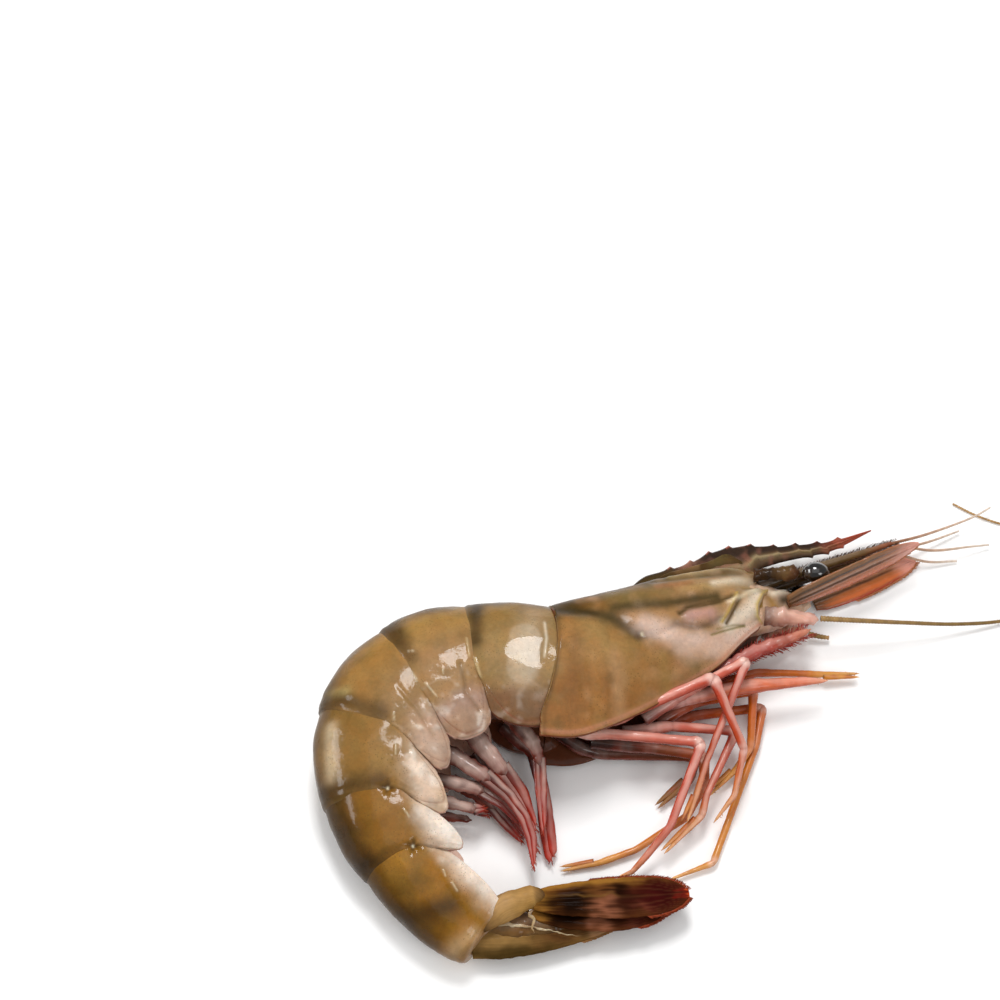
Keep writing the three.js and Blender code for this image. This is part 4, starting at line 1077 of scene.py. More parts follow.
# root colour to tip colour, one for each joint
pinkLeg = ["#9c6258", "#d08c7e", "#d28272", "#c4624e", "#b24430", "#ac3e1c", "#b65824", "#c47c3c", "#d4985a"]
paleLeg = ["#dcb0a0", "#e6c2b6", "#e0ac9c", "#cc7c6a", "#b84c38", "#b0422a", "#b4522a", "#c4722e", "#d89858"]
# the far legs lie under the body by the table: their darker orange and brown tones are painted shade over the
# legs' own colour
shadedOrangeLeg = ["#7c3822", "#984424", "#a4441a", "#a84810", "#b05212", "#b86018", "#c07424", "#cc8c3c",
             "#dca866"]
shadedBrownLeg = ["#260e08", "#30120a", "#40190b", "#5a2811", "#74401c", "#7c4e24", "#8c6434"]
legs = {
    "leg_right_5": {
        "root": [2.3, -10.1, 15.5], "pieces": [[308, 3.7, 14.5], [336, 3, 13.6], [2, 5.6, 13],
            [355, 19, 12.5], [248, 18, 7.4], [228, 7.2, 4.6], [225, 4.4, 3], [195, 3.4, 1.8]],
        "radii": [1.3, 1.2, 1.25, 1.15, 1.2, 0.95, 0.85, 0.6, 0.25], "tones": paleLeg},
    "leg_right_4": {
        "root": [9.6, -11.9, 14.5], "pieces": [[6, 5.2, 15.4], [24, 3.2, 16.1], [23, 18, 17.3],
            [295, 15.1, 11.5], [257, 9, 7.2], [230, 6.8, 4.6]], "radii": [1.5, 1.4, 1.15, 1.15, 0.9, 0.7,
            0.25], "tones": pinkLeg},
    "leg_right_3": {
        "root": [17.3, -12.4, 10.2], "pieces": [[13, 5, 9.4], [9, 3.7, 8.8], [358, 13.6, 7.2],
            [245, 15.4, 6.6], [256, 4.4, 5.8], [225, 11.3, 4.6]], "radii": [1.5, 1.3, 1.1, 1, 0.85, 0.9,
            0.3], "claw": 0.45, "tones": pinkLeg},
    "leg_right_2": {
        "root": [21.5, -9.6, 12.9], "pieces": [[34, 6.1, 13.4], [28, 4.3, 13.9], [27, 12.5, 15.6],
            [247, 21.9, 9.6], [252, 6.9, 8.4], [251, 6.7, 7.4]], "radii": [1.4, 1.3, 1.05, 1, 0.8, 0.8, 0.3],
        "claw": 0.6, "tones": pinkLeg},
    "leg_right_1": {
        "root": [25, -6.6, 10.6], "pieces": [[18, 3.6, 10.6], [18, 2.9, 10.6], [13, 10.9, 9.8], [7, 12.2, 9],
            [5, 5.2, 8.4]], "radii": [1.4, 1.3, 1.5, 1.6, 1.1, 0.4],
        "tones": ["#c48a80", "#d7a096", "#cf7b64", "#c8653f", "#d4704c", "#e0a080"]},
    "leg_left_5": {
        "root": [2.8, -12.2, 7], "pieces": [[331, 4.3, 5.4], [350, 4.5, 4], [0, 20.3, 3], [253, 5.3, 2.2],
            [222, 9.2, 1.4]], "radii": [1.5, 1.4, 1.3, 1.2, 1.1, 0.3], "claw": 0.45, "tones": shadedBrownLeg},
    "leg_left_4": {
        "root": [19.3, -10.9, 5.1], "pieces": [[24, 7, 4], [19, 6.1, 3.3], [8, 14.2, 2.7], [259, 8.5, 2.4],
            [249.5, 27.7, 1.6], [201, 10.1, 1.2]], "radii": [1.4, 1.3, 1.1, 1, 0.95, 0.8, 0.25],
        "tones": shadedOrangeLeg},
    "leg_left_3": {
        "root": [10.8, -14, 7.5], "pieces": [[355, 5.3, 7], [357, 5.3, 6.6], [353, 11.4, 5.8],
            [270, 5.9, 3.6], [239, 7.6, 2.4], [213, 12.7, 1.5], [200, 8.2, 1.3], [192, 8.2, 1]],
        "radii": [1.4, 1.3, 1.2, 1.1, 1.1, 1, 0.85, 0.8, 0.25], "claw": 0.5,
        "tones": ["#34160e", "#421c0f", "#5a2a12", "#9a4a1c"] + shadedOrangeLeg[4:]},
    "leg_left_2": {
        "root": [24.5, -8.5, 7.6], "pieces": [[32, 3.8, 7.6], [28, 3.7, 7.3], [14, 12.8, 6.6],
            [266, 12.1, 4.4], [235, 5.2, 2.8], [223, 8.5, 1.3]], "radii": [1.4, 1.3, 1.1, 1, 0.9, 0.85,
            0.25], "claw": 0.5, "tones": shadedOrangeLeg},
    "leg_left_1": {
        "root": [25.3, -5.5, 4.9], "pieces": [[30, 6.7, 4.9], [32, 4.3, 4.8], [18, 10.2, 4.2],
            [1, 10.3, 3.2], [359, 2.8, 2.8], [3, 9, 2.2]], "radii": [1.3, 1.2, 1, 0.9, 0.8, 0.85, 0.25],
        "claw": 0.4, "tones": shadedOrangeLeg},
}
legLook = {
    "inwardMm": 2.0, "slim": 0.88,  # how far the root goes in; thickness past the fourth joint
    # top is the strength of a painted highlight streak on the upper side, edge of painted shade at both
    # sides; the far legs, in shade, get less highlight
    "near": {"top": 0.5, "blush": 0.26, "edge": 0.5, "jointed": 1.0},
    "far": {"top": 0.12, "blush": 0.2, "edge": 0.3, "jointed": 0.6},
    "hairs": 26, "hairMm": 0.8, "hairTone": "#c98a5a", "hairLean": (0.3, -0.3, 0.5),
}


# a claw's second finger, beside the last piece and apart at its tip
def makeFinger(wrist, tip, thick, apart):
    aside = np.cross((tip - wrist) / np.linalg.norm(tip - wrist), [0, 0, 1.0])
    aside /= np.linalg.norm(aside)
    start = mix(wrist, tip, 0.12) + aside * thick * 0.8
    places = np.array([start, mix(start, tip, 0.5) + aside * apart, tip + aside * apart * 2])
    return places, [thick, thick * 0.75, 0.22]


for number, (name, leg) in enumerate(legs.items()):
    places = jointPlaces(leg["root"], leg["pieces"], legLook["inwardMm"])
    radii = [r * (1 if k < 4 else legLook["slim"]) for k, r in enumerate(leg["radii"])]
    made = [makeLimb(places, radii, leg["tones"], seed=number,
                     **legLook["far" if "left" in name else "near"])]
    if "claw" in leg:
        finger, thin = makeFinger(places[-2], places[-1], leg["radii"][-2] * 0.8, leg["claw"])
        made.append(makeLimb(finger, thin, leg["tones"][-3:], seed=number + 20, jointed=0, top=0.1,
                             rootShade=0.1))
    addLimb(name + "_shell", made, legSkin, [name])
    sproutAlong(places[-3:], legLook["hairLean"], legLook["hairs"], legLook["hairMm"], legLook["hairTone"],
                0.7,
                number, (0.2, 0.95))
print("walking legs made")

# Swimming legs: a pale stout stalk, a dark knee, and two red branches that lie together.
paddles = {
    "paddle_right_1": {
        "root": [-8.3, -9.6, 12.5], "pieces": [[310, 7.4, 12], [293, 3.7, 11.5], [274, 6.6, 9.5],
            [273, 8.7, 7.5]], "radii": [2.1, 1.8, 1.3, 1.2, 0.5], "stalk": 2},
    "paddle_right_2": {
        "root": [-15.2, -14.7, 12.5], "pieces": [[309, 8, 11.5], [310, 6.5, 9], [296, 8, 6.5]],
        "radii": [2.4, 2, 1.7, 0.6], "stalk": 1},
    "paddle_right_3": {
        "root": [-18.5, -19.6, 12.5], "pieces": [[325, 6.1, 12.5], [323, 6, 11], [309, 5.5, 9.5],
            [290, 4.3, 8], [276, 6.3, 6.5]], "radii": [2, 1.7, 1.3, 1.2, 1.1, 0.35], "stalk": 1},
    "paddle_right_4": {
        "root": [-20, -24.1, 11], "pieces": [[350, 5.3, 10.2], [334, 5.8, 7.6], [314, 5.4, 5.6]],
        "radii": [1.7, 1.5, 1.1, 0.5], "stalk": 1},
    "paddle_right_5": {
        "root": [-19.7, -28.2, 9.5], "pieces": [[350, 4, 8.4], [10, 2.6, 7.6]], "radii": [1.5, 1.3, 0.7],
        "stalk": 1},
    "paddle_left_1": {
        "root": [-6.7, -12.2, 5.3], "pieces": [[316, 5.2, 5], [283, 6.2, 4.5], [277, 9.6, 3.2],
            [278, 6.9, 2]], "radii": [1.7, 1.4, 1.3, 1.6, 1.3], "stalk": 1},
    "paddle_left_2": {
        "root": [-13.2, -19, 5.5], "pieces": [[306, 7.2, 5], [299, 5.9, 4], [303, 7.2, 2.4]],
        "radii": [1.7, 1.5, 1.4, 0.6], "stalk": 1},
    "paddle_left_3": {
        "root": [-16.9, -23.5, 5.3], "pieces": [[330, 5.2, 4.2], [313, 6.1, 2.6], [312, 4.1, 1.4]],
        "radii": [1.5, 1.4, 1.2, 0.6], "stalk": 1},
    "paddle_left_4": {
        "root": [-19.4, -26.4, 4.5], "pieces": [[350, 5, 3.2], [341, 2.2, 2]], "radii": [1.4, 1.2, 0.7],
        "stalk": 1},
    "paddle_left_5": {
        "root": [-20.6, -29.3, 4.5], "pieces": [[355, 4.6, 3.8]], "radii": [1.3, 0.8], "stalk": 1},
}
paddleLook = {
    "inwardMm": 4.0, "flat": 0.85, "branchFlat": 0.7, "top": 0.36,
    "stalkSize": 0.88, "kneeSize": 0.6, "branchSize": 0.66, "branchApart": 0.42, "kneeShare": 0.35,
    "hairMm": 0.7, "hairsPerMm": 4, "hairTone": "#b4503a", "tuftHairs": 10, "tuftMm": 0.9,
    "tuftTone": "#b8402a",
    "stalkBlush": "#451608",
    "near": {"stalk": ["#6e4a3e", "#b4968a", "#74392e", "#38120a"],
             "branch": ["#3c120b", "#6a2c24", "#84261c", "#8e1c12", "#aa2410"]},
    "far": {"stalk": ["#7c4a40", "#7a443a", "#40160f"], "branch": ["#3c100e", "#641a14", "#922419",
                                                                   "#b4301f"]},
}


# two that lie together, each with a fringe and a tuft at the end
def makeBranches(branch, thick, tones, number):
    look, made = paddleLook, []
    way, side, top = crossAxes(branch)
    for sign in (-1, 1):
        apart = sign * np.array(thick)[:, None] * look["branchApart"]
        apart[-1] *= 0.8
        line = branch + side * apart + top * sign * 0.12
        if sign > 0:
            line[-1] = mix(line[-2], line[-1], 0.86)
        made.append(makeLimb(line, [r * look["branchSize"] for r in thick], tones, look["branchFlat"],
                             flutes=5,
                             seed=50 + number * 2 + sign, jointed=0, top=look["top"], blush=0.35,
                             rootShade=0.1,
                             edge=0.4))
        sproutAlong(line, side[-1] * sign * 0.5 + way[-1] * 0.9,
                    int(lengthAlong(line)[-1] * look["hairsPerMm"]),
                    look["hairMm"], look["hairTone"], 0.22, 100 + number * 2 + sign, (0.25, 1.0))
    sproutAlong([branch[-1] - way[-1], branch[-1]], way[-1], look["tuftHairs"], look["tuftMm"],
                look["tuftTone"],
                0.2, 140 + number)
    return made


for number, (name, paddle) in enumerate(paddles.items()):
    places = jointPlaces(paddle["root"], paddle["pieces"], paddleLook["inwardMm"])
    cut, radii = paddle["stalk"], paddle["radii"]
    tones = paddleLook["far" if "left" in name else "near"]
    branched = len(places) > cut + 1
    stalk = places[:cut + 1]
    thick = [r * paddleLook["stalkSize"] for r in radii[:cut + 1]]
    if branched:  # the knee hides where the branches start
        stalk = np.vstack([stalk, mix(places[cut], places[cut + 1], paddleLook["kneeShare"])])
        thick.append(radii[cut] * paddleLook["kneeSize"])
    made = [makeLimb(stalk, thick, tones["stalk"], paddleLook["flat"], flutes=4, seed=30 + number, jointed=0,
                     top=paddleLook["top"], blush=0.85, blushTone=paddleLook["stalkBlush"], lump=0.14,
                     edge=0.5)]
    if branched:
        made += makeBranches(places[cut:], radii[cut:], tones["branch"], number)
    addLimb(name + "_branches", made, paddleSkin, [name])
print("swimming legs made")

# Eyes, stalks, jaw legs and antenna bases
stalks = {
    "eyestalk_right": {
        "root": [44, 22.8, 11.4], "pieces": [[1, 9.8, 12.6]], "radii": [1.4, 1.7],
        "tones": ["#4a3018", "#2a1a0e", "#5a4024", "#22150c"]},
    "eyestalk_left": {
        "root": [41, 20.6, 3.8], "pieces": [[10, 10.6, 2.4]], "radii": [1.1, 1.2],
        "tones": ["#4a3018", "#2a1a0e", "#5a4024", "#22150c"]},
    "antenna_base_right": {
        "root": [46, 14, 10], "pieces": [[356, 7, 9.8], [357, 4.6, 9.6]], "radii": [2.4, 1.9, 1.0],
        "tones": ["#a87e6a", "#cf9c88", "#d8a898"]},
    "antenna_base_left": {
        "root": [46, 13.6, 3.4], "pieces": [[356, 9.6, 2.6]], "radii": [2, 1.6],
        "tones": ["#a87a62", "#c08a70"]},
    "jaw_leg_right": {
        "root": [34, -1, 12], "pieces": [[35, 7, 11.4], [30, 6, 11], [21, 5.8, 10.5], [26, 5.8, 10]],
        "radii": [1.4, 1.5, 1.4, 1.2, 0.6], "tones": ["#8e3630", "#a5413a", "#a2443a", "#a04a38",
            "#c98468"]},
    "jaw_leg_left": {
        "root": [34, 0.6, 7.2], "pieces": [[35, 7, 6.8], [30, 5.5, 6], [22, 7.5, 5]],
        "radii": [1.2, 1.2, 1.1, 0.5], "tones": ["#6d2420", "#84302a", "#8e3a2c", "#b06a50"]},
}
stalkLook = {
    "eye": {"top": 0.0, "blush": 0.1, "lump": 0.34, "jointed": 0.0},
    "other": {"top": 0.3, "blush": 0.4, "lump": 0.26, "jointed": 0.35},
    "blushTone": "#8a4434", "jawHairs": 150, "jawHairMm": 1.5, "jawHairTone": "#9c3a30",
}
for number, (name, stalk) in enumerate(stalks.items()):
    places = jointPlaces(stalk["root"], stalk["pieces"])
    isEye = name.startswith("eyestalk")
    made = [makeLimb(places, stalk["radii"], stalk["tones"], 0.92, seed=80 + number, rootShade=4,
                     blushTone=stalkLook["blushTone"], **stalkLook["eye" if isEye else "other"])]
    addLimb(name + "_skin", made, stalkShell if isEye else legSkin, [name])
    if name.startswith("jaw"):
        way, side, _ = crossAxes(places)
        for sign in (-1, 1):
            sproutAlong(places + side * sign * 0.9, side[1] * sign * 0.7 + way[1] * 0.8,
                        stalkLook["jawHairs"],
                        stalkLook["jawHairMm"], stalkLook["jawHairTone"], 0.35, 160 + number * 2 + sign)

eyes = {"places": {"eye_right": [57, 22.8, 12.9], "eye_left": [54, 22.6, 2.3]}, "halfMm": [2.9, 2.2, 2.2],
        "rows": 40, "columns": 56, "waist": 0.1, "tone": "#100c08"}
theta = np.linspace(0.02, math.pi - 0.02, eyes["rows"])[:, None]
phi = circle(eyes["columns"])
ball = np.stack([np.cos(theta) * np.ones_like(phi), np.sin(theta) * np.cos(phi), np.sin(theta) * np.sin(phi)],
                -1)
# where the lens meets the stalk
ball[..., 1:] *= (1 - eyes["waist"] * hill(ball[..., 0] + 0.62, 0.12))[..., None]
for name, (x, y, z) in eyes["places"].items():
    lens = ball * eyes["halfMm"] + np.array([neck[0] + x, neck[1] + y, z])
    lens[..., 2] = np.maximum(lens[..., 2], tableGap)
    addPiece(name + "_lens", tube(lens, np.ones(lens.shape) * linear(eyes["tone"])), eyeLens, [name])
print("eyes and head limbs made")


# Leaf-like blades: antennal scales and the tail fan
def smoothPath(places, count):  # centripetal Catmull-Rom, evenly stepped
    p = np.vstack([2 * places[0] - places[1], places, 2 * places[-1] - places[-2]])
    fine = []
    for k in range(1, len(p) - 2):
        a, b, c, d = p[k - 1:k + 3]
        t0 = 0.0
        t1 = t0 + np.linalg.norm(b - a) ** 0.5
        t2 = t1 + np.linalg.norm(c - b) ** 0.5
        t3 = t2 + np.linalg.norm(d - c) ** 0.5
        for t in np.linspace(t1, t2, 40, endpoint=(k == len(p) - 3)):
            a1 = (t1 - t) / (t1 - t0) * a + (t - t0) / (t1 - t0) * b
            a2 = (t2 - t) / (t2 - t1) * b + (t - t1) / (t2 - t1) * c
            a3 = (t3 - t) / (t3 - t2) * c + (t - t2) / (t3 - t2) * d
            b1 = (t2 - t) / (t2 - t0) * a1 + (t - t0) / (t2 - t0) * a2
            b2 = (t3 - t) / (t3 - t1) * a2 + (t - t1) / (t3 - t1) * a3
            fine.append((t2 - t) / (t2 - t1) * b1 + (t - t1) / (t2 - t1) * b2)
    fine = np.array(fine)
    done = lengthAlong(fine)
    even = np.linspace(0, done[-1], count)
    return np.stack([np.interp(even, done, fine[:, i]) for i in range(3)], -1), even


finWidths = [[0, 2], [0.1, 3], [0.3, 3.9], [0.55, 4.5], [0.8, 4.1], [0.93, 2.7], [1, 0.8]]
blades = {
    "feeler_scale_right": {
        "root": [51, 16.7, 11.1], "pieces": [[25, 15, 11], [27.5, 17, 9.9]],
        "widths": [[0, 2.2], [0.12, 3.2], [0.4, 3.8], [0.78, 3.5], [0.93, 2], [1, 0.4]],
        "thickness": [[0, 1.6], [1, 0.6]], "roll": 80, "kind": "scale"},
    "feeler_scale_left": {
        "root": [57.5, 20.3, 1.6], "pieces": [[24, 12.4, 1.5], [26, 12.4, 1.3]],
        "widths": [[0, 1.6], [0.12, 2.4], [0.45, 2.8], [0.8, 2.2], [0.95, 1.2], [1, 0.4]],
        "thickness": [[0, 1.2], [1, 0.6]], "roll": 12, "kind": "scale"},
    "fin_outer_right": {
        "root": [-3.4, -48.8, 8.5], "pieces": [[2, 10, 8.4], [3, 11, 7.8], [6, 11.2, 6.8]],
        "widths": finWidths, "thickness": [[0, 2], [0.2, 1.2], [1, 0.6]], "roll": -5, "kind": "fin"},
    "fin_inner_right": {
        "root": [-3.6, -50, 6.6], "pieces": [[356, 9, 6.5], [4, 10, 6], [14, 10, 5]], "widths": finWidths,
        "thickness": [[0, 1.4], [0.2, 1], [1, 0.6]], "roll": -5, "kind": "fin"},
    "fin_inner_left": {
        "root": [-3.6, -48.6, 2], "pieces": [[358, 9, 2], [5, 10, 2], [12, 9.6, 1.9]], "widths": finWidths,
        "thickness": [[0, 1.2], [0.2, 0.9], [1, 0.6]], "roll": 0, "kind": "fin"},
    "fin_outer_left": {
        "root": [-3.4, -47.4, 0.8], "pieces": [[1, 10, 0.8], [4, 11, 0.8], [8, 10.2, 0.8]],
        "widths": finWidths, "thickness": [[0, 0.8], [1, 0.6]], "roll": 0, "kind": "fin"},
    "tail_spike": {
        "root": [-16, -56.6, 4.6], "pieces": [[5, 13, 4.5], [10, 12.6, 4.2], [14, 6, 3.8]],
        "widths": [[0, 3.4], [0.2, 3.8], [0.5, 3.2], [0.8, 1.9], [0.95, 0.8], [1, 0.4]],
        "thickness": [[0, 3.8], [0.4, 2.6], [1, 0.8]], "roll": 0, "kind": "spike"},
}
bladeLook = {"steps": 150, "across": 40, "ribMm": 0.12, "fineMm": 0.025, "finePitchMm": 0.42, "ragged": 0.03,
             "streak": "#a5744a", "hairMm": 0.75, "hairsPerMm": 12}
# colours of a blade: share of its length, of its width (-1 to 1), reach of each, colour, strength
finPaint = [
    (0.02, 0.0, 0.10, 1.5, "#96682c", 0.9), (0.3, 0.95, 0.55, 0.3, "#94662a", 0.9),
    (0.24, -0.3, 0.17, 0.85, "#120703", 0.99), (0.33, 0.3, 0.09, 0.35, "#1a0b04", 0.9),
    (0.47, -0.4, 0.10, 0.8, "#84513a", 0.85), (0.43, 0.35, 0.10, 0.35, "#5c3818", 0.7),
    (0.5, 0.12, 0.4, 0.07, "#6e4e26", 0.6),
    (0.61, -0.1, 0.12, 0.8, "#2c120a", 0.95), (0.57, 0.4, 0.09, 0.3, "#150803", 0.9),
    (0.72, -0.5, 0.06, 0.35, "#7a4030", 0.6), (0.83, 0.0, 0.18, 1.3, "#34090a", 0.97),
    (0.975, 0.0, 0.03, 1.4, "#641410", 0.85), (1.005, 0.0, 0.016, 1.5, "#c04a24", 0.9),
]
scalePaint = [
    (0.0, 0.0, 0.26, 1.6, "#4a3c1e", 0.8), (0.42, 0.88, 0.5, 0.15, "#7a5a3a", 0.9),
    (0.4, 0.62, 0.5, 0.14, "#2c200c", 0.95), (0.45, 0.34, 0.5, 0.15, "#9a7258", 0.9),
    (0.4, 0.06, 0.5, 0.13, "#46280c", 0.95), (0.5, -0.25, 0.5, 0.16, "#a0541f", 0.9),
    (0.5, -0.6, 0.5, 0.2, "#c0602c", 0.9), (0.5, -0.95, 0.5, 0.14, "#9c3414", 0.9),
    (1.02, 0.0, 0.2, 1.6, "#dd9c8c", 0.9),
]
spikePaint = [
    (0.1, 0.0, 0.3, 1.5, "#8c6c3e", 0.85), (0.25, -0.9, 0.4, 0.4, "#3a2a10", 0.9),
    (0.6, -0.2, 0.2, 0.6, "#4e3018", 0.8), (0.75, 0.5, 0.2, 0.5, "#4e2c16", 0.8),
    (0.9, 0.0, 0.14, 1.2, "#b0835f", 0.8), (0.35, 0.55, 0.22, 0.16, "#e9dfd0", 0.8),
]
# ribs: where the side ribs run, as a share of the width. waver: how much the borders of the colours waver
# across. comb: 1 if they run out in fine streaks. hairsFrom: the share of the length where each edge's
# hairs start.
bladeKinds = {
    "fin": {
        "skin": finSkin, "slot": "fin", "base": "#4c2810", "paint": finPaint, "ribs": 0.42, "waver": 4,
        "comb": 1, "hairTone": "#8e3a1c", "hairSize": 1, "hairsFrom": {-1: 0.7, 1: 0.35}},
    "scale": {
        "skin": feelerSkin, "slot": "feeler", "base": "#9c5c38", "paint": scalePaint, "ribs": 0.42,
        "waver": 0.9, "comb": 0, "hairTone": "#c07a52", "hairSize": 1, "hairsFrom": {-1: 0.35}},
    "spike": {
        "skin": finSkin, "slot": "fin", "base": "#6c4e28", "paint": spikePaint, "ribs": 0.55, "waver": 4,
        "comb": 0, "hairTone": "#94683a", "hairSize": 0.8, "hairsFrom": {-1: 0.7, 1: 0.35}},
}


def bladeTone(rings, kind, alongMm, share, width, acrossMm, fine):
    bend = 0.05 * cloud(rings, 2.4, 90)
    flat = np.stack([alongMm * 0.1, acrossMm * 2.6, 0 * acrossMm], -1)
    streaks = 0.055 * cloud(flat, 1.0, 91) * kind["comb"]
    tone = np.ones(rings.shape) * linear(kind["base"])
    for at, over, reach, span, colour, strength in kind["paint"]:
        d = ((share + bend + streaks - at) / reach) ** 2 + ((width + bend * kind["waver"] - over) / span) ** 2
        tone = paintOver(tone, [(colour, np.exp(-d ** 1.6) * strength)])
    return paintOver(tone, [(bladeLook["streak"], 0.06 * smooth(fine, 0.3, 1.0) * smooth(share, 0.4, 0.8))])


def makeBlade(name, blade):
    look, kind = bladeLook, bladeKinds[blade["kind"]]
    path, even = smoothPath(jointPlaces(blade["root"], blade["pieces"]), look["steps"])
    way, side, top = crossAxes(path)
    t = np.linspace(0, 1, look["steps"])[:, None]
    wide, thick = profile(blade["widths"], t), profile(blade["thickness"], t) / 2
    q = circle(look["across"] * 2)
    share, alongMm, width = t * np.ones_like(q), even[:, None] * np.ones_like(q), np.cos(q) * np.ones_like(t)
    acrossMm = width * wide
    lift = np.sign(np.sin(q)) * np.abs(np.sin(q)) ** 0.8
    ribs = np.zeros_like(width)
    for centre, height in ((0.0, 1.0), (kind["ribs"], 0.6), (-kind["ribs"], 0.6)):
        ribs += height * hill(width - centre * (1 - 0.3 * t), 0.07) - 0.5 * hill(width - centre - 0.13, 0.06)
    fine = np.cos(acrossMm * 2 * math.pi / look["finePitchMm"]) * smooth(t, 0.15, 0.5)
    h = thick * lift + lift * (look["ribMm"] * ribs + look["fineMm"] * fine)
    w = acrossMm * (1 + look["ragged"] * cloud(np.stack([alongMm, acrossMm, 0 * acrossMm], -1), 1.1, 5))
    c, s = math.cos(math.radians(blade["roll"])), math.sin(math.radians(blade["roll"]))
    rings = path[:, None, :] + (w * c - h * s)[..., None] * side[:, None, :] \
        + (w * s + h * c)[..., None] * top[:, None, :]
    rings[..., 2] = np.maximum(rings[..., 2], tableGap)
    made = tube(rings, bladeTone(rings, kind, alongMm, share, width, acrossMm, fine))
    run = np.stack([alongMm, width * 4, 0 * width], -1).reshape(-1, 3)
    addLimb(name + "_leaf", [(made, run)], kind["skin"], [name])
    for sign, start in kind["hairsFrom"].items():  # a fringe of bristles round the free edge
        edge = path + side * (wide * c * sign) + top * (wide * s * sign)
        edge[:, 2] = np.maximum(edge[:, 2], hairGap + tableGap)
        out = side[-1] * c * sign + top[-1] * s * sign
        sproutAlong(edge, out * 0.45 + way * 0.9, int(even[-1] * look["hairsPerMm"]),
                    look["hairMm"] * kind["hairSize"],
                    kind["hairTone"], 0.12, 200 + len(hairs) % 97, (start, 1.0))


for name, blade in blades.items():
    makeBlade(name, blade)

finBases = {
    "fin_base_right": {
        "root": [-14.6, -53.6, 8.2], "pieces": [[32, 5.5, 8.7], [25, 6.4, 8.6], [4, 3.6, 8.5]],
        "radii": [2.3, 2.9, 2.5, 1.2], "tones": ["#7c5c38", "#a07c4a", "#9c763e", "#3c220c"]},
    "fin_base_left": {
        "root": [-14.6, -53.8, 3.2], "pieces": [[32, 5.5, 2.3], [22, 6.2, 1.9]], "radii": [1.9, 1.8, 1.6],
        "tones": ["#7c5a2c", "#8c6430", "#7c5428"]},
}
for number, (name, base) in enumerate(finBases.items()):
    made = makeLimb(jointPlaces(base["root"], base["pieces"]), base["radii"], base["tones"],
                    seed=120 + number,
                    jointed=0.2, blush=0, top=0.05, rootShade=2, lump=0.07)
    addLimb(name + "_knob", [made], finSkin, [name])

# Torn pale skin where the fan's stalk, blades and spike meet.
tornSkin = [
    {"root": [-12.4, -52.9, 7.2], "pieces": [[352, 4, 7.2], [354, 4, 7.0], [350, 6, 6.6], [350, 5, 6.2]],
     "radii": [0.7, 0.5, 0.22, 0.14, 0.06], "tones": ["#8a7250", "#b8a68a", "#b09a7c", "#8a7048"]},
    {"root": [-3.4, -51.0, 9.9], "pieces": [[230, 1.3, 9.7], [320, 1.5, 9.3], [250, 1.6, 8.6],
                                            [300, 1.2, 8.0]],
     "radii": [0.2, 0.34, 0.3, 0.26, 0.1], "tones": ["#6a4c2c", "#a58e6a", "#8a6c46"]},
    {"root": [-14.0, -53.6, 5.6], "pieces": [[6, 5, 5.8], [2, 7, 5.5], [358, 6, 5.0]],
     "radii": [1.8, 2.7, 2.5, 0.8], "tones": ["#7c5c34", "#6c4c28", "#583a1c", "#40240f"]},
]
folds = [makeLimb(jointPlaces(fold["root"], fold["pieces"]), fold["radii"], fold["tones"], 0.5,
                  seed=180 + number,
                  jointed=0, blush=0.5, top=0.15, rootShade=0.1, lump=0.22, blushTone="#7a5c36")[0]
         for number, fold in enumerate(tornSkin)]
addPiece("fan_root_skin", joinParts(folds), softSkin)
print("blades and tail fan made")


# Threads by Geometry Nodes: rings of a feeler or whip follow its path.
# This starts a node group with its sockets: geometry, plain values, a material.
def startTree(name, entry, values, result):
    tree = bpy.data.node_groups.new(name, "GeometryNodeTree")
    sockets = {}
    for label, kind, start in [(entry, "Geometry", None), *values, ("Skin", "Material", None)]:
        sockets[label] = tree.interface.new_socket(label, in_out="INPUT", socket_type="NodeSocket" + kind)
        if start is not None:
            sockets[label].default_value = start
    tree.interface.new_socket(result, in_out="OUTPUT", socket_type="NodeSocketGeometry")
    return tree, sockets, addNode(tree, "NodeGroupInput")


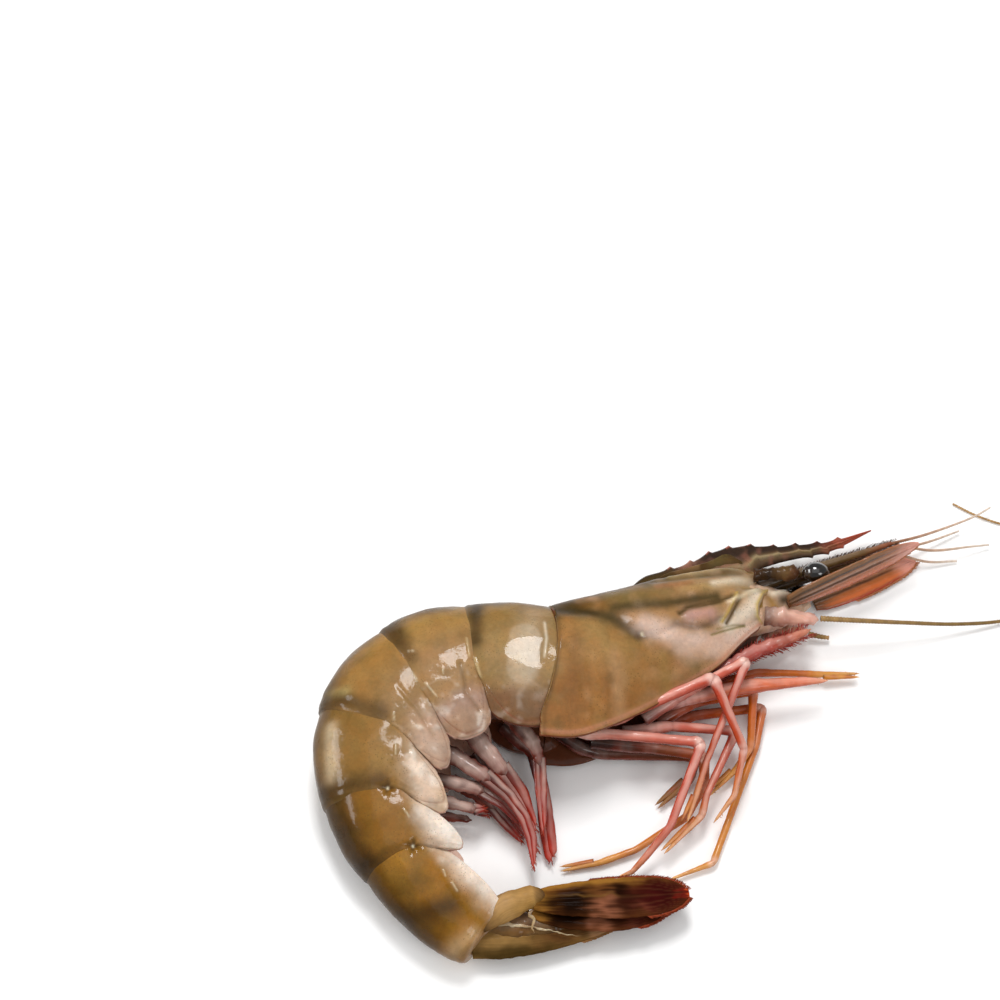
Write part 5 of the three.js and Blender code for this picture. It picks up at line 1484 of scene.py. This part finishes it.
def makeThreadTree():
    tree, sockets, start = startTree("Ringed thread", "Path", [
        ("Ring pitch", "Float", 0.0008), ("Ring depth", "Float", 0.18), ("Seed", "Float", 3.0)], "Thread")
    curve = addNode(tree, "GeometryNodeMeshToCurve", links={"Mesh": start.outputs["Path"]})
    quarter = addNode(tree, "ShaderNodeMath", {"operation": "MULTIPLY"}, {1: 0.25},
                      {0: start.outputs["Ring pitch"]})
    even = addNode(tree, "GeometryNodeResampleCurve", {"mode": "LENGTH"},
                   links={"Curve": curve, "Length": quarter})
    thick = addNode(tree, "GeometryNodeInputNamedAttribute", {"data_type": "FLOAT"}, {"Name": "thick"})
    where = addNode(tree, "GeometryNodeSplineParameter")
    turns = addNode(tree, "ShaderNodeMath", {"operation": "DIVIDE"}, None,
                    {0: where.outputs["Length"], 1: start.outputs["Ring pitch"]})
    angle = addNode(tree, "ShaderNodeMath", {"operation": "MULTIPLY"}, {1: 2 * math.pi}, {0: turns})
    wave = addNode(tree, "ShaderNodeMath", {"operation": "SINE"}, None, {0: angle})
    swell = addNode(tree, "ShaderNodeMath", {"operation": "MULTIPLY_ADD"}, {2: 1.0},
                    {0: wave, 1: start.outputs["Ring depth"]})
    jitter = addNode(tree, "ShaderNodeTexNoise", {"noise_dimensions": "4D"}, {"Scale": 600.0},
                     {"W": start.outputs["Seed"]})
    worn = addNode(tree, "ShaderNodeMath", {"operation": "MULTIPLY_ADD"}, {1: 0.3, 2: 0.85}, {0: jitter})
    size = addNode(tree, "ShaderNodeMath", {"operation": "MULTIPLY"}, None, {0: thick, 1: swell})
    radius = addNode(tree, "ShaderNodeMath", {"operation": "MULTIPLY"}, None, {0: size, 1: worn})
    keep = addNode(tree, "GeometryNodeStoreNamedAttribute", {"data_type": "FLOAT_VECTOR", "domain": "POINT"},
                   {"Name": "run"}, {"Geometry": even})
    lengthMm = addNode(tree, "ShaderNodeMath", {"operation": "MULTIPLY"}, {1: 1000.0},
                       {0: where.outputs["Length"]})
    vector = addNode(tree, "ShaderNodeCombineXYZ", None, None, {"X": lengthMm})
    tree.links.new(vector.outputs[0], keep.inputs["Value"])
    ring = addNode(tree, "GeometryNodeCurvePrimitiveCircle", {"mode": "RADIUS"},
                   {"Resolution": 8, "Radius": 1.0})
    body = addNode(tree, "GeometryNodeCurveToMesh", None, {"Fill Caps": True},
                   {"Curve": keep, "Profile Curve": ring, "Scale": radius})
    real = addNode(tree, "GeometryNodeRealizeInstances", links={0: body})
    soft = addNode(tree, "GeometryNodeSetShadeSmooth", links={0: real})
    skin = addNode(tree, "GeometryNodeSetMaterial", links={0: soft, "Material": start.outputs["Skin"]})
    addNode(tree, "NodeGroupOutput", links={0: skin})
    return tree, sockets


# evaluates a tree on a mesh, gives back a plain mesh object
def runTree(name, source, tree, sockets, values):
    holder = putInScene(name + "_guide", source)
    modifier = holder.modifiers.new("make", "NODES")
    modifier.node_group = tree
    for label, value in values.items():
        modifier[sockets[label].identifier] = value
    bpy.context.view_layer.update()
    seen = holder.evaluated_get(bpy.context.evaluated_depsgraph_get())
    mesh = bpy.data.meshes.new_from_object(seen)
    holder.modifiers.clear()
    bpy.data.objects.remove(holder)
    return putInScene(name, mesh)


threadTree, threadSockets = makeThreadTree()


threads = {"tones": ["#8a5a3c", "#c0a088", "#d8c8b8"], "radii": [0.34, 0.22], "steps": 70, "ringMm": 0.55,
           "ringDepth": 0.22, "band": 0.14, "bandSteps": 3, "seed": 3.0}


def addThreads(name, lines, nodes, pitchMm, depth):  # lines: (path, radii, tones)
    places, edges, thick, tones = [], [], [], []
    for path, radii, ends in lines:
        first = len(places)
        places += path.tolist()
        edges += [(first + k, first + k + 1) for k in range(len(path) - 1)]
        t = np.linspace(0, 1, len(path))
        thick += list(np.interp(t, np.linspace(0, 1, len(radii)), radii))
        stops = np.array([linear(c) for c in ends])
        for k, share in enumerate(t):
            at = share * (len(stops) - 1)
            low = min(int(at), len(stops) - 2)
            band = 1 - threads["band"] * (int(k / threads["bandSteps"]) % 2)  # light and dark bands
            tones.append(mix(stops[low], stops[low + 1], at - low) * band)
    source = bpy.data.meshes.new(name)
    source.from_pydata((np.array(places) * millimetre).tolist(), edges, [])
    setValues(source, "thick", "FLOAT", np.array(thick) * millimetre)
    setTone(source, np.array(tones))
    piece = runTree(name, source, threadTree, threadSockets, {
        "Ring pitch": pitchMm * millimetre, "Ring depth": depth, "Seed": threads["seed"], "Skin": whipSkin})
    settle(piece, nodes)


feelers = {
    "feeler_right": {
        "root": [45, 21.2, 8.8], "stem": [[19, 14, 8.9], [20, 10, 8.4], [23, 8, 7.4]],
        "stemRadii": [1.15, 1.05, 0.8, 0.4], "tones": ["#3a2a16", "#54401f", "#6a5030", "#9c5a40"],
        "threads": [[[20, 8, 6], [26, 12.3, 3.4], [34, 5, 2.4]],
            [[358, 9, 4.6], [12, 9, 2.4], [12, 4.3, 1.4]]]},
    "feeler_left": {
        "root": [45, 20.8, 6], "stem": [[19, 14, 6], [20, 10, 5.4], [23, 8, 4.4]],
        "stemRadii": [1.1, 1.1, 1, 0.5], "tones": ["#3a2a16", "#54401f", "#6a5030", "#9c5a40"],
        "threads": [[[20, 9, 2.2], [24, 8, 1]], [[350, 8, 2], [5, 7, 0.8]]]},
}
feelerLook = {"blushTone": "#2a1c0e", "hairs": 170, "hairMm": 0.75, "hairTone": "#4a2c1c"}
for number, (name, feeler) in enumerate(feelers.items()):
    places = jointPlaces(feeler["root"], feeler["stem"])
    made = makeLimb(places, feeler["stemRadii"], feeler["tones"], seed=130 + number, jointed=0.2, blush=0.5,
                    top=0.1,
                    rootShade=0.1, lump=0.06, blushTone=feelerLook["blushTone"])
    addLimb(name + "_stem", [made], feelerSkin, [name])
    way, side, top = crossAxes(places)
    for sign in (-1, 1):
        line = places + (side * sign * 0.8 + top * 0.3) * np.array(feeler["stemRadii"])[:, None]
        sproutAlong(line, side[1] * sign * 0.7 + way[1] * 0.8 + np.array([0, 0, 0.2]), feelerLook["hairs"],
                    feelerLook["hairMm"], feelerLook["hairTone"], 0.3, 220 + number * 2 + sign, (0.25, 1.0))
    start = mix(places[-1], places[-2], 0.12)
    lines = [(smoothPath(walk(start, pieces), threads["steps"])[0], threads["radii"], threads["tones"])
             for pieces in feeler["threads"]]
    addThreads(name + "_threads", lines, [name], threads["ringMm"], threads["ringDepth"])

whips = {
    "whip_right": {
        "root": [58, 13.5, 9.6], "pieces": [[0, 6, 8.8], [2, 12, 6.4], [5, 12.6, 3], [10, 11, 0.9],
            [21, 12, 0.5], [51, 10, 0.5], [105, 5, 0.5], [150, 8, 0.5], [168, 10, 0.5], [158, 6, 0.5],
            [150, 5, 0.5]], "radii": [0.62, 0.45, 0.4, 0.35, 0.3, 0.22], "steps": 240},
    "whip_left": {
        "root": [56, 13, 2.3], "pieces": [[350, 2.4, 1.9], [356, 2, 1.5]], "radii": [0.6, 0.45],
        "steps": 30},
}
whipLook = {"tones": ["#9a7a4c", "#7d6238", "#8a6a3c", "#b08a5a"], "ringMm": 0.7, "ringDepth": 0.14}
for name, whip in whips.items():
    path, _ = smoothPath(jointPlaces(whip["root"], whip["pieces"]), whip["steps"])
    addThreads(name + "_thread", [(path, whip["radii"], whipLook["tones"])], [name],
               whipLook["ringMm"], whipLook["ringDepth"])
print("feelers and whips made")


# Bristles by Geometry Nodes: one small bent hair on every marked place
def makeBristleTree():
    tree, sockets, start = startTree("Bristles", "Places", [
        ("Thickness", "Float", 0.00005), ("Bend", "Float", 0.22), ("Seed", "Int", 7)], "Hairs")
    tip = addNode(tree, "ShaderNodeCombineXYZ", None, {"Z": 1.0}, {"X": start.outputs["Bend"]})
    hair = addNode(tree, "GeometryNodeCurveQuadraticBezier", None,
                   {"Resolution": 4, "Start": (0, 0, 0), "Middle": (0, 0, 0.55)}, {"End": tip})
    where = addNode(tree, "GeometryNodeSplineParameter")
    thin = addNode(tree, "ShaderNodeMapRange", None, {"To Min": 1.0, "To Max": 0.15},
                   {"Value": where.outputs["Factor"]})
    ring = addNode(tree, "GeometryNodeCurvePrimitiveCircle", {"mode": "RADIUS"},
                   {"Resolution": 3, "Radius": 1.0})
    body = addNode(tree, "GeometryNodeCurveToMesh", None, {"Fill Caps": True},
                   {"Curve": hair, "Profile Curve": ring, "Scale": thin})
    lean = addNode(tree, "GeometryNodeInputNamedAttribute", {"data_type": "FLOAT_VECTOR"}, {"Name": "lean"})
    size = addNode(tree, "GeometryNodeInputNamedAttribute", {"data_type": "FLOAT"}, {"Name": "size"})
    aim = addNode(tree, "FunctionNodeAlignRotationToVector", {"axis": "Z"}, None, {"Vector": lean})
    spin = addNode(tree, "FunctionNodeRandomValue", {"data_type": "FLOAT"}, {2: 0.0, 3: 6.283},
                   {"Seed": start.outputs["Seed"]})
    about = addNode(tree, "ShaderNodeCombineXYZ", None, None, {"Z": spin.outputs[1]})
    turned = addNode(tree, "FunctionNodeRotateRotation", {"rotation_space": "LOCAL"}, None,
                     {"Rotation": aim, "Rotate By": about})
    scale = addNode(tree, "ShaderNodeCombineXYZ", None, None,
                    {"X": start.outputs["Thickness"], "Y": start.outputs["Thickness"], "Z": size})
    put = addNode(tree, "GeometryNodeInstanceOnPoints", None, None,
                  {"Points": start.outputs["Places"], "Instance": body, "Rotation": turned,
                   "Scale": scale})
    real = addNode(tree, "GeometryNodeRealizeInstances", links={0: put})
    skin = addNode(tree, "GeometryNodeSetMaterial", links={0: real, "Material": start.outputs["Skin"]})
    addNode(tree, "NodeGroupOutput", links={0: skin})
    return tree, sockets


bristleTree, bristleSockets = makeBristleTree()
bristles = {"thicknessMm": 0.06, "bend": 2.2, "seed": 7}
places, leans, sizes, tints = [np.array(column) for column in zip(*hairs)]
source = bpy.data.meshes.new("bristles")
source.from_pydata((places * millimetre).tolist(), [], [])
setValues(source, "lean", "FLOAT_VECTOR", leans)
setValues(source, "size", "FLOAT", sizes * millimetre)
setTone(source, tints)
piece = runTree("bristles", source, bristleTree, bristleSockets, {
    "Thickness": bristles["thicknessMm"] * millimetre, "Bend": bristles["bend"], "Seed": bristles["seed"],
    "Skin": bristleSkin})
settle(piece)
print("bristles made:", len(hairs))


# Floor, light and camera
studio = {
    "floorMm": 3000, "paper": ("#f6f6f5", "#ffffff"), "fleck": 0.08, "world": 0.42,
    "view": {"elevation": 65.0, "lens": 120.0, "distance": 718.0, "aim": (-44.5, 48.6, 12.0)},
    # name: place in mm from the middle, width, height in mm, watts, colour
    "lights": {
        "soft_box_back": ((-40, 340, 760), 190, 280, 3.9, "#ffffff"),
        "soft_box_left": ((-620, 60, 300), 420, 90, 1.6, "#ffffff"),
        "soft_box_front": ((420, -420, 520), 260, 260, 1.2, "#ffffff"),
        "soft_top": ((0, -60, 900), 800, 800, 1.7, "#ffffff"),
    },
}
floor = bpy.data.meshes.new("floor")
half = studio["floorMm"] / 2 * millimetre
floor.from_pydata([(-half, -half, 0), (half, -half, 0), (half, half, 0), (-half, half, 0)], [],
                  [(0, 1, 2, 3)])
# Studio paper: matt white, so the eye sees only the soft shadow on it.
paper, tree, shader, place, _ = startMaterial("white_studio_paper", {"Roughness": 0.9})
fleck = addNode(tree, "ShaderNodeTexNoise", None, {"Scale": studio["fleck"], "Detail": 2.0},
                {"Vector": place})
dull, clean = [(*linear(colour), 1) for colour in studio["paper"]]
shade = addNode(tree, "ShaderNodeMix", {"data_type": "RGBA"}, {"A": dull, "B": clean}, {"Factor": fleck})
tree.links.new(shade.outputs["Result"], shader.inputs["Base Color"])
floor.materials.append(paper)
putInScene("floor", floor)

for name, (place, width, height, watts, colour) in studio["lights"].items():
    lamp = bpy.data.lights.new(name, "AREA")
    lamp.shape = "RECTANGLE"
    lamp.size, lamp.size_y = width * millimetre, height * millimetre
    lamp.energy = watts
    lamp.color = linear(colour)
    holder = putInScene(name, lamp)
    holder.location = [v * millimetre for v in place]
    holder.rotation_euler = (-Vector(place)).to_track_quat("-Z", "Y").to_euler()

world = bpy.data.worlds.new("studio")
bpy.context.scene.world = world
world.use_nodes = True
world.node_tree.nodes["Background"].inputs["Color"].default_value = (1, 1, 1, 1)
world.node_tree.nodes["Background"].inputs["Strength"].default_value = studio["world"]
bpy.context.scene.view_settings.view_transform = "Standard"

view = studio["view"]
camera = bpy.data.cameras.new("camera")
camera.lens = view["lens"]
camera.sensor_width = 36
camera.clip_start = 0.01
tilt = math.radians(90 - view["elevation"])
ahead = np.array([0, math.sin(tilt), -math.cos(tilt)])
cameraPiece = putInScene("camera", camera)
cameraPiece.rotation_euler = (tilt, 0, 0)
cameraPiece.location = (np.array(view["aim"]) - ahead * view["distance"]) * millimetre
bpy.context.scene.camera = cameraPiece
print("studio made")
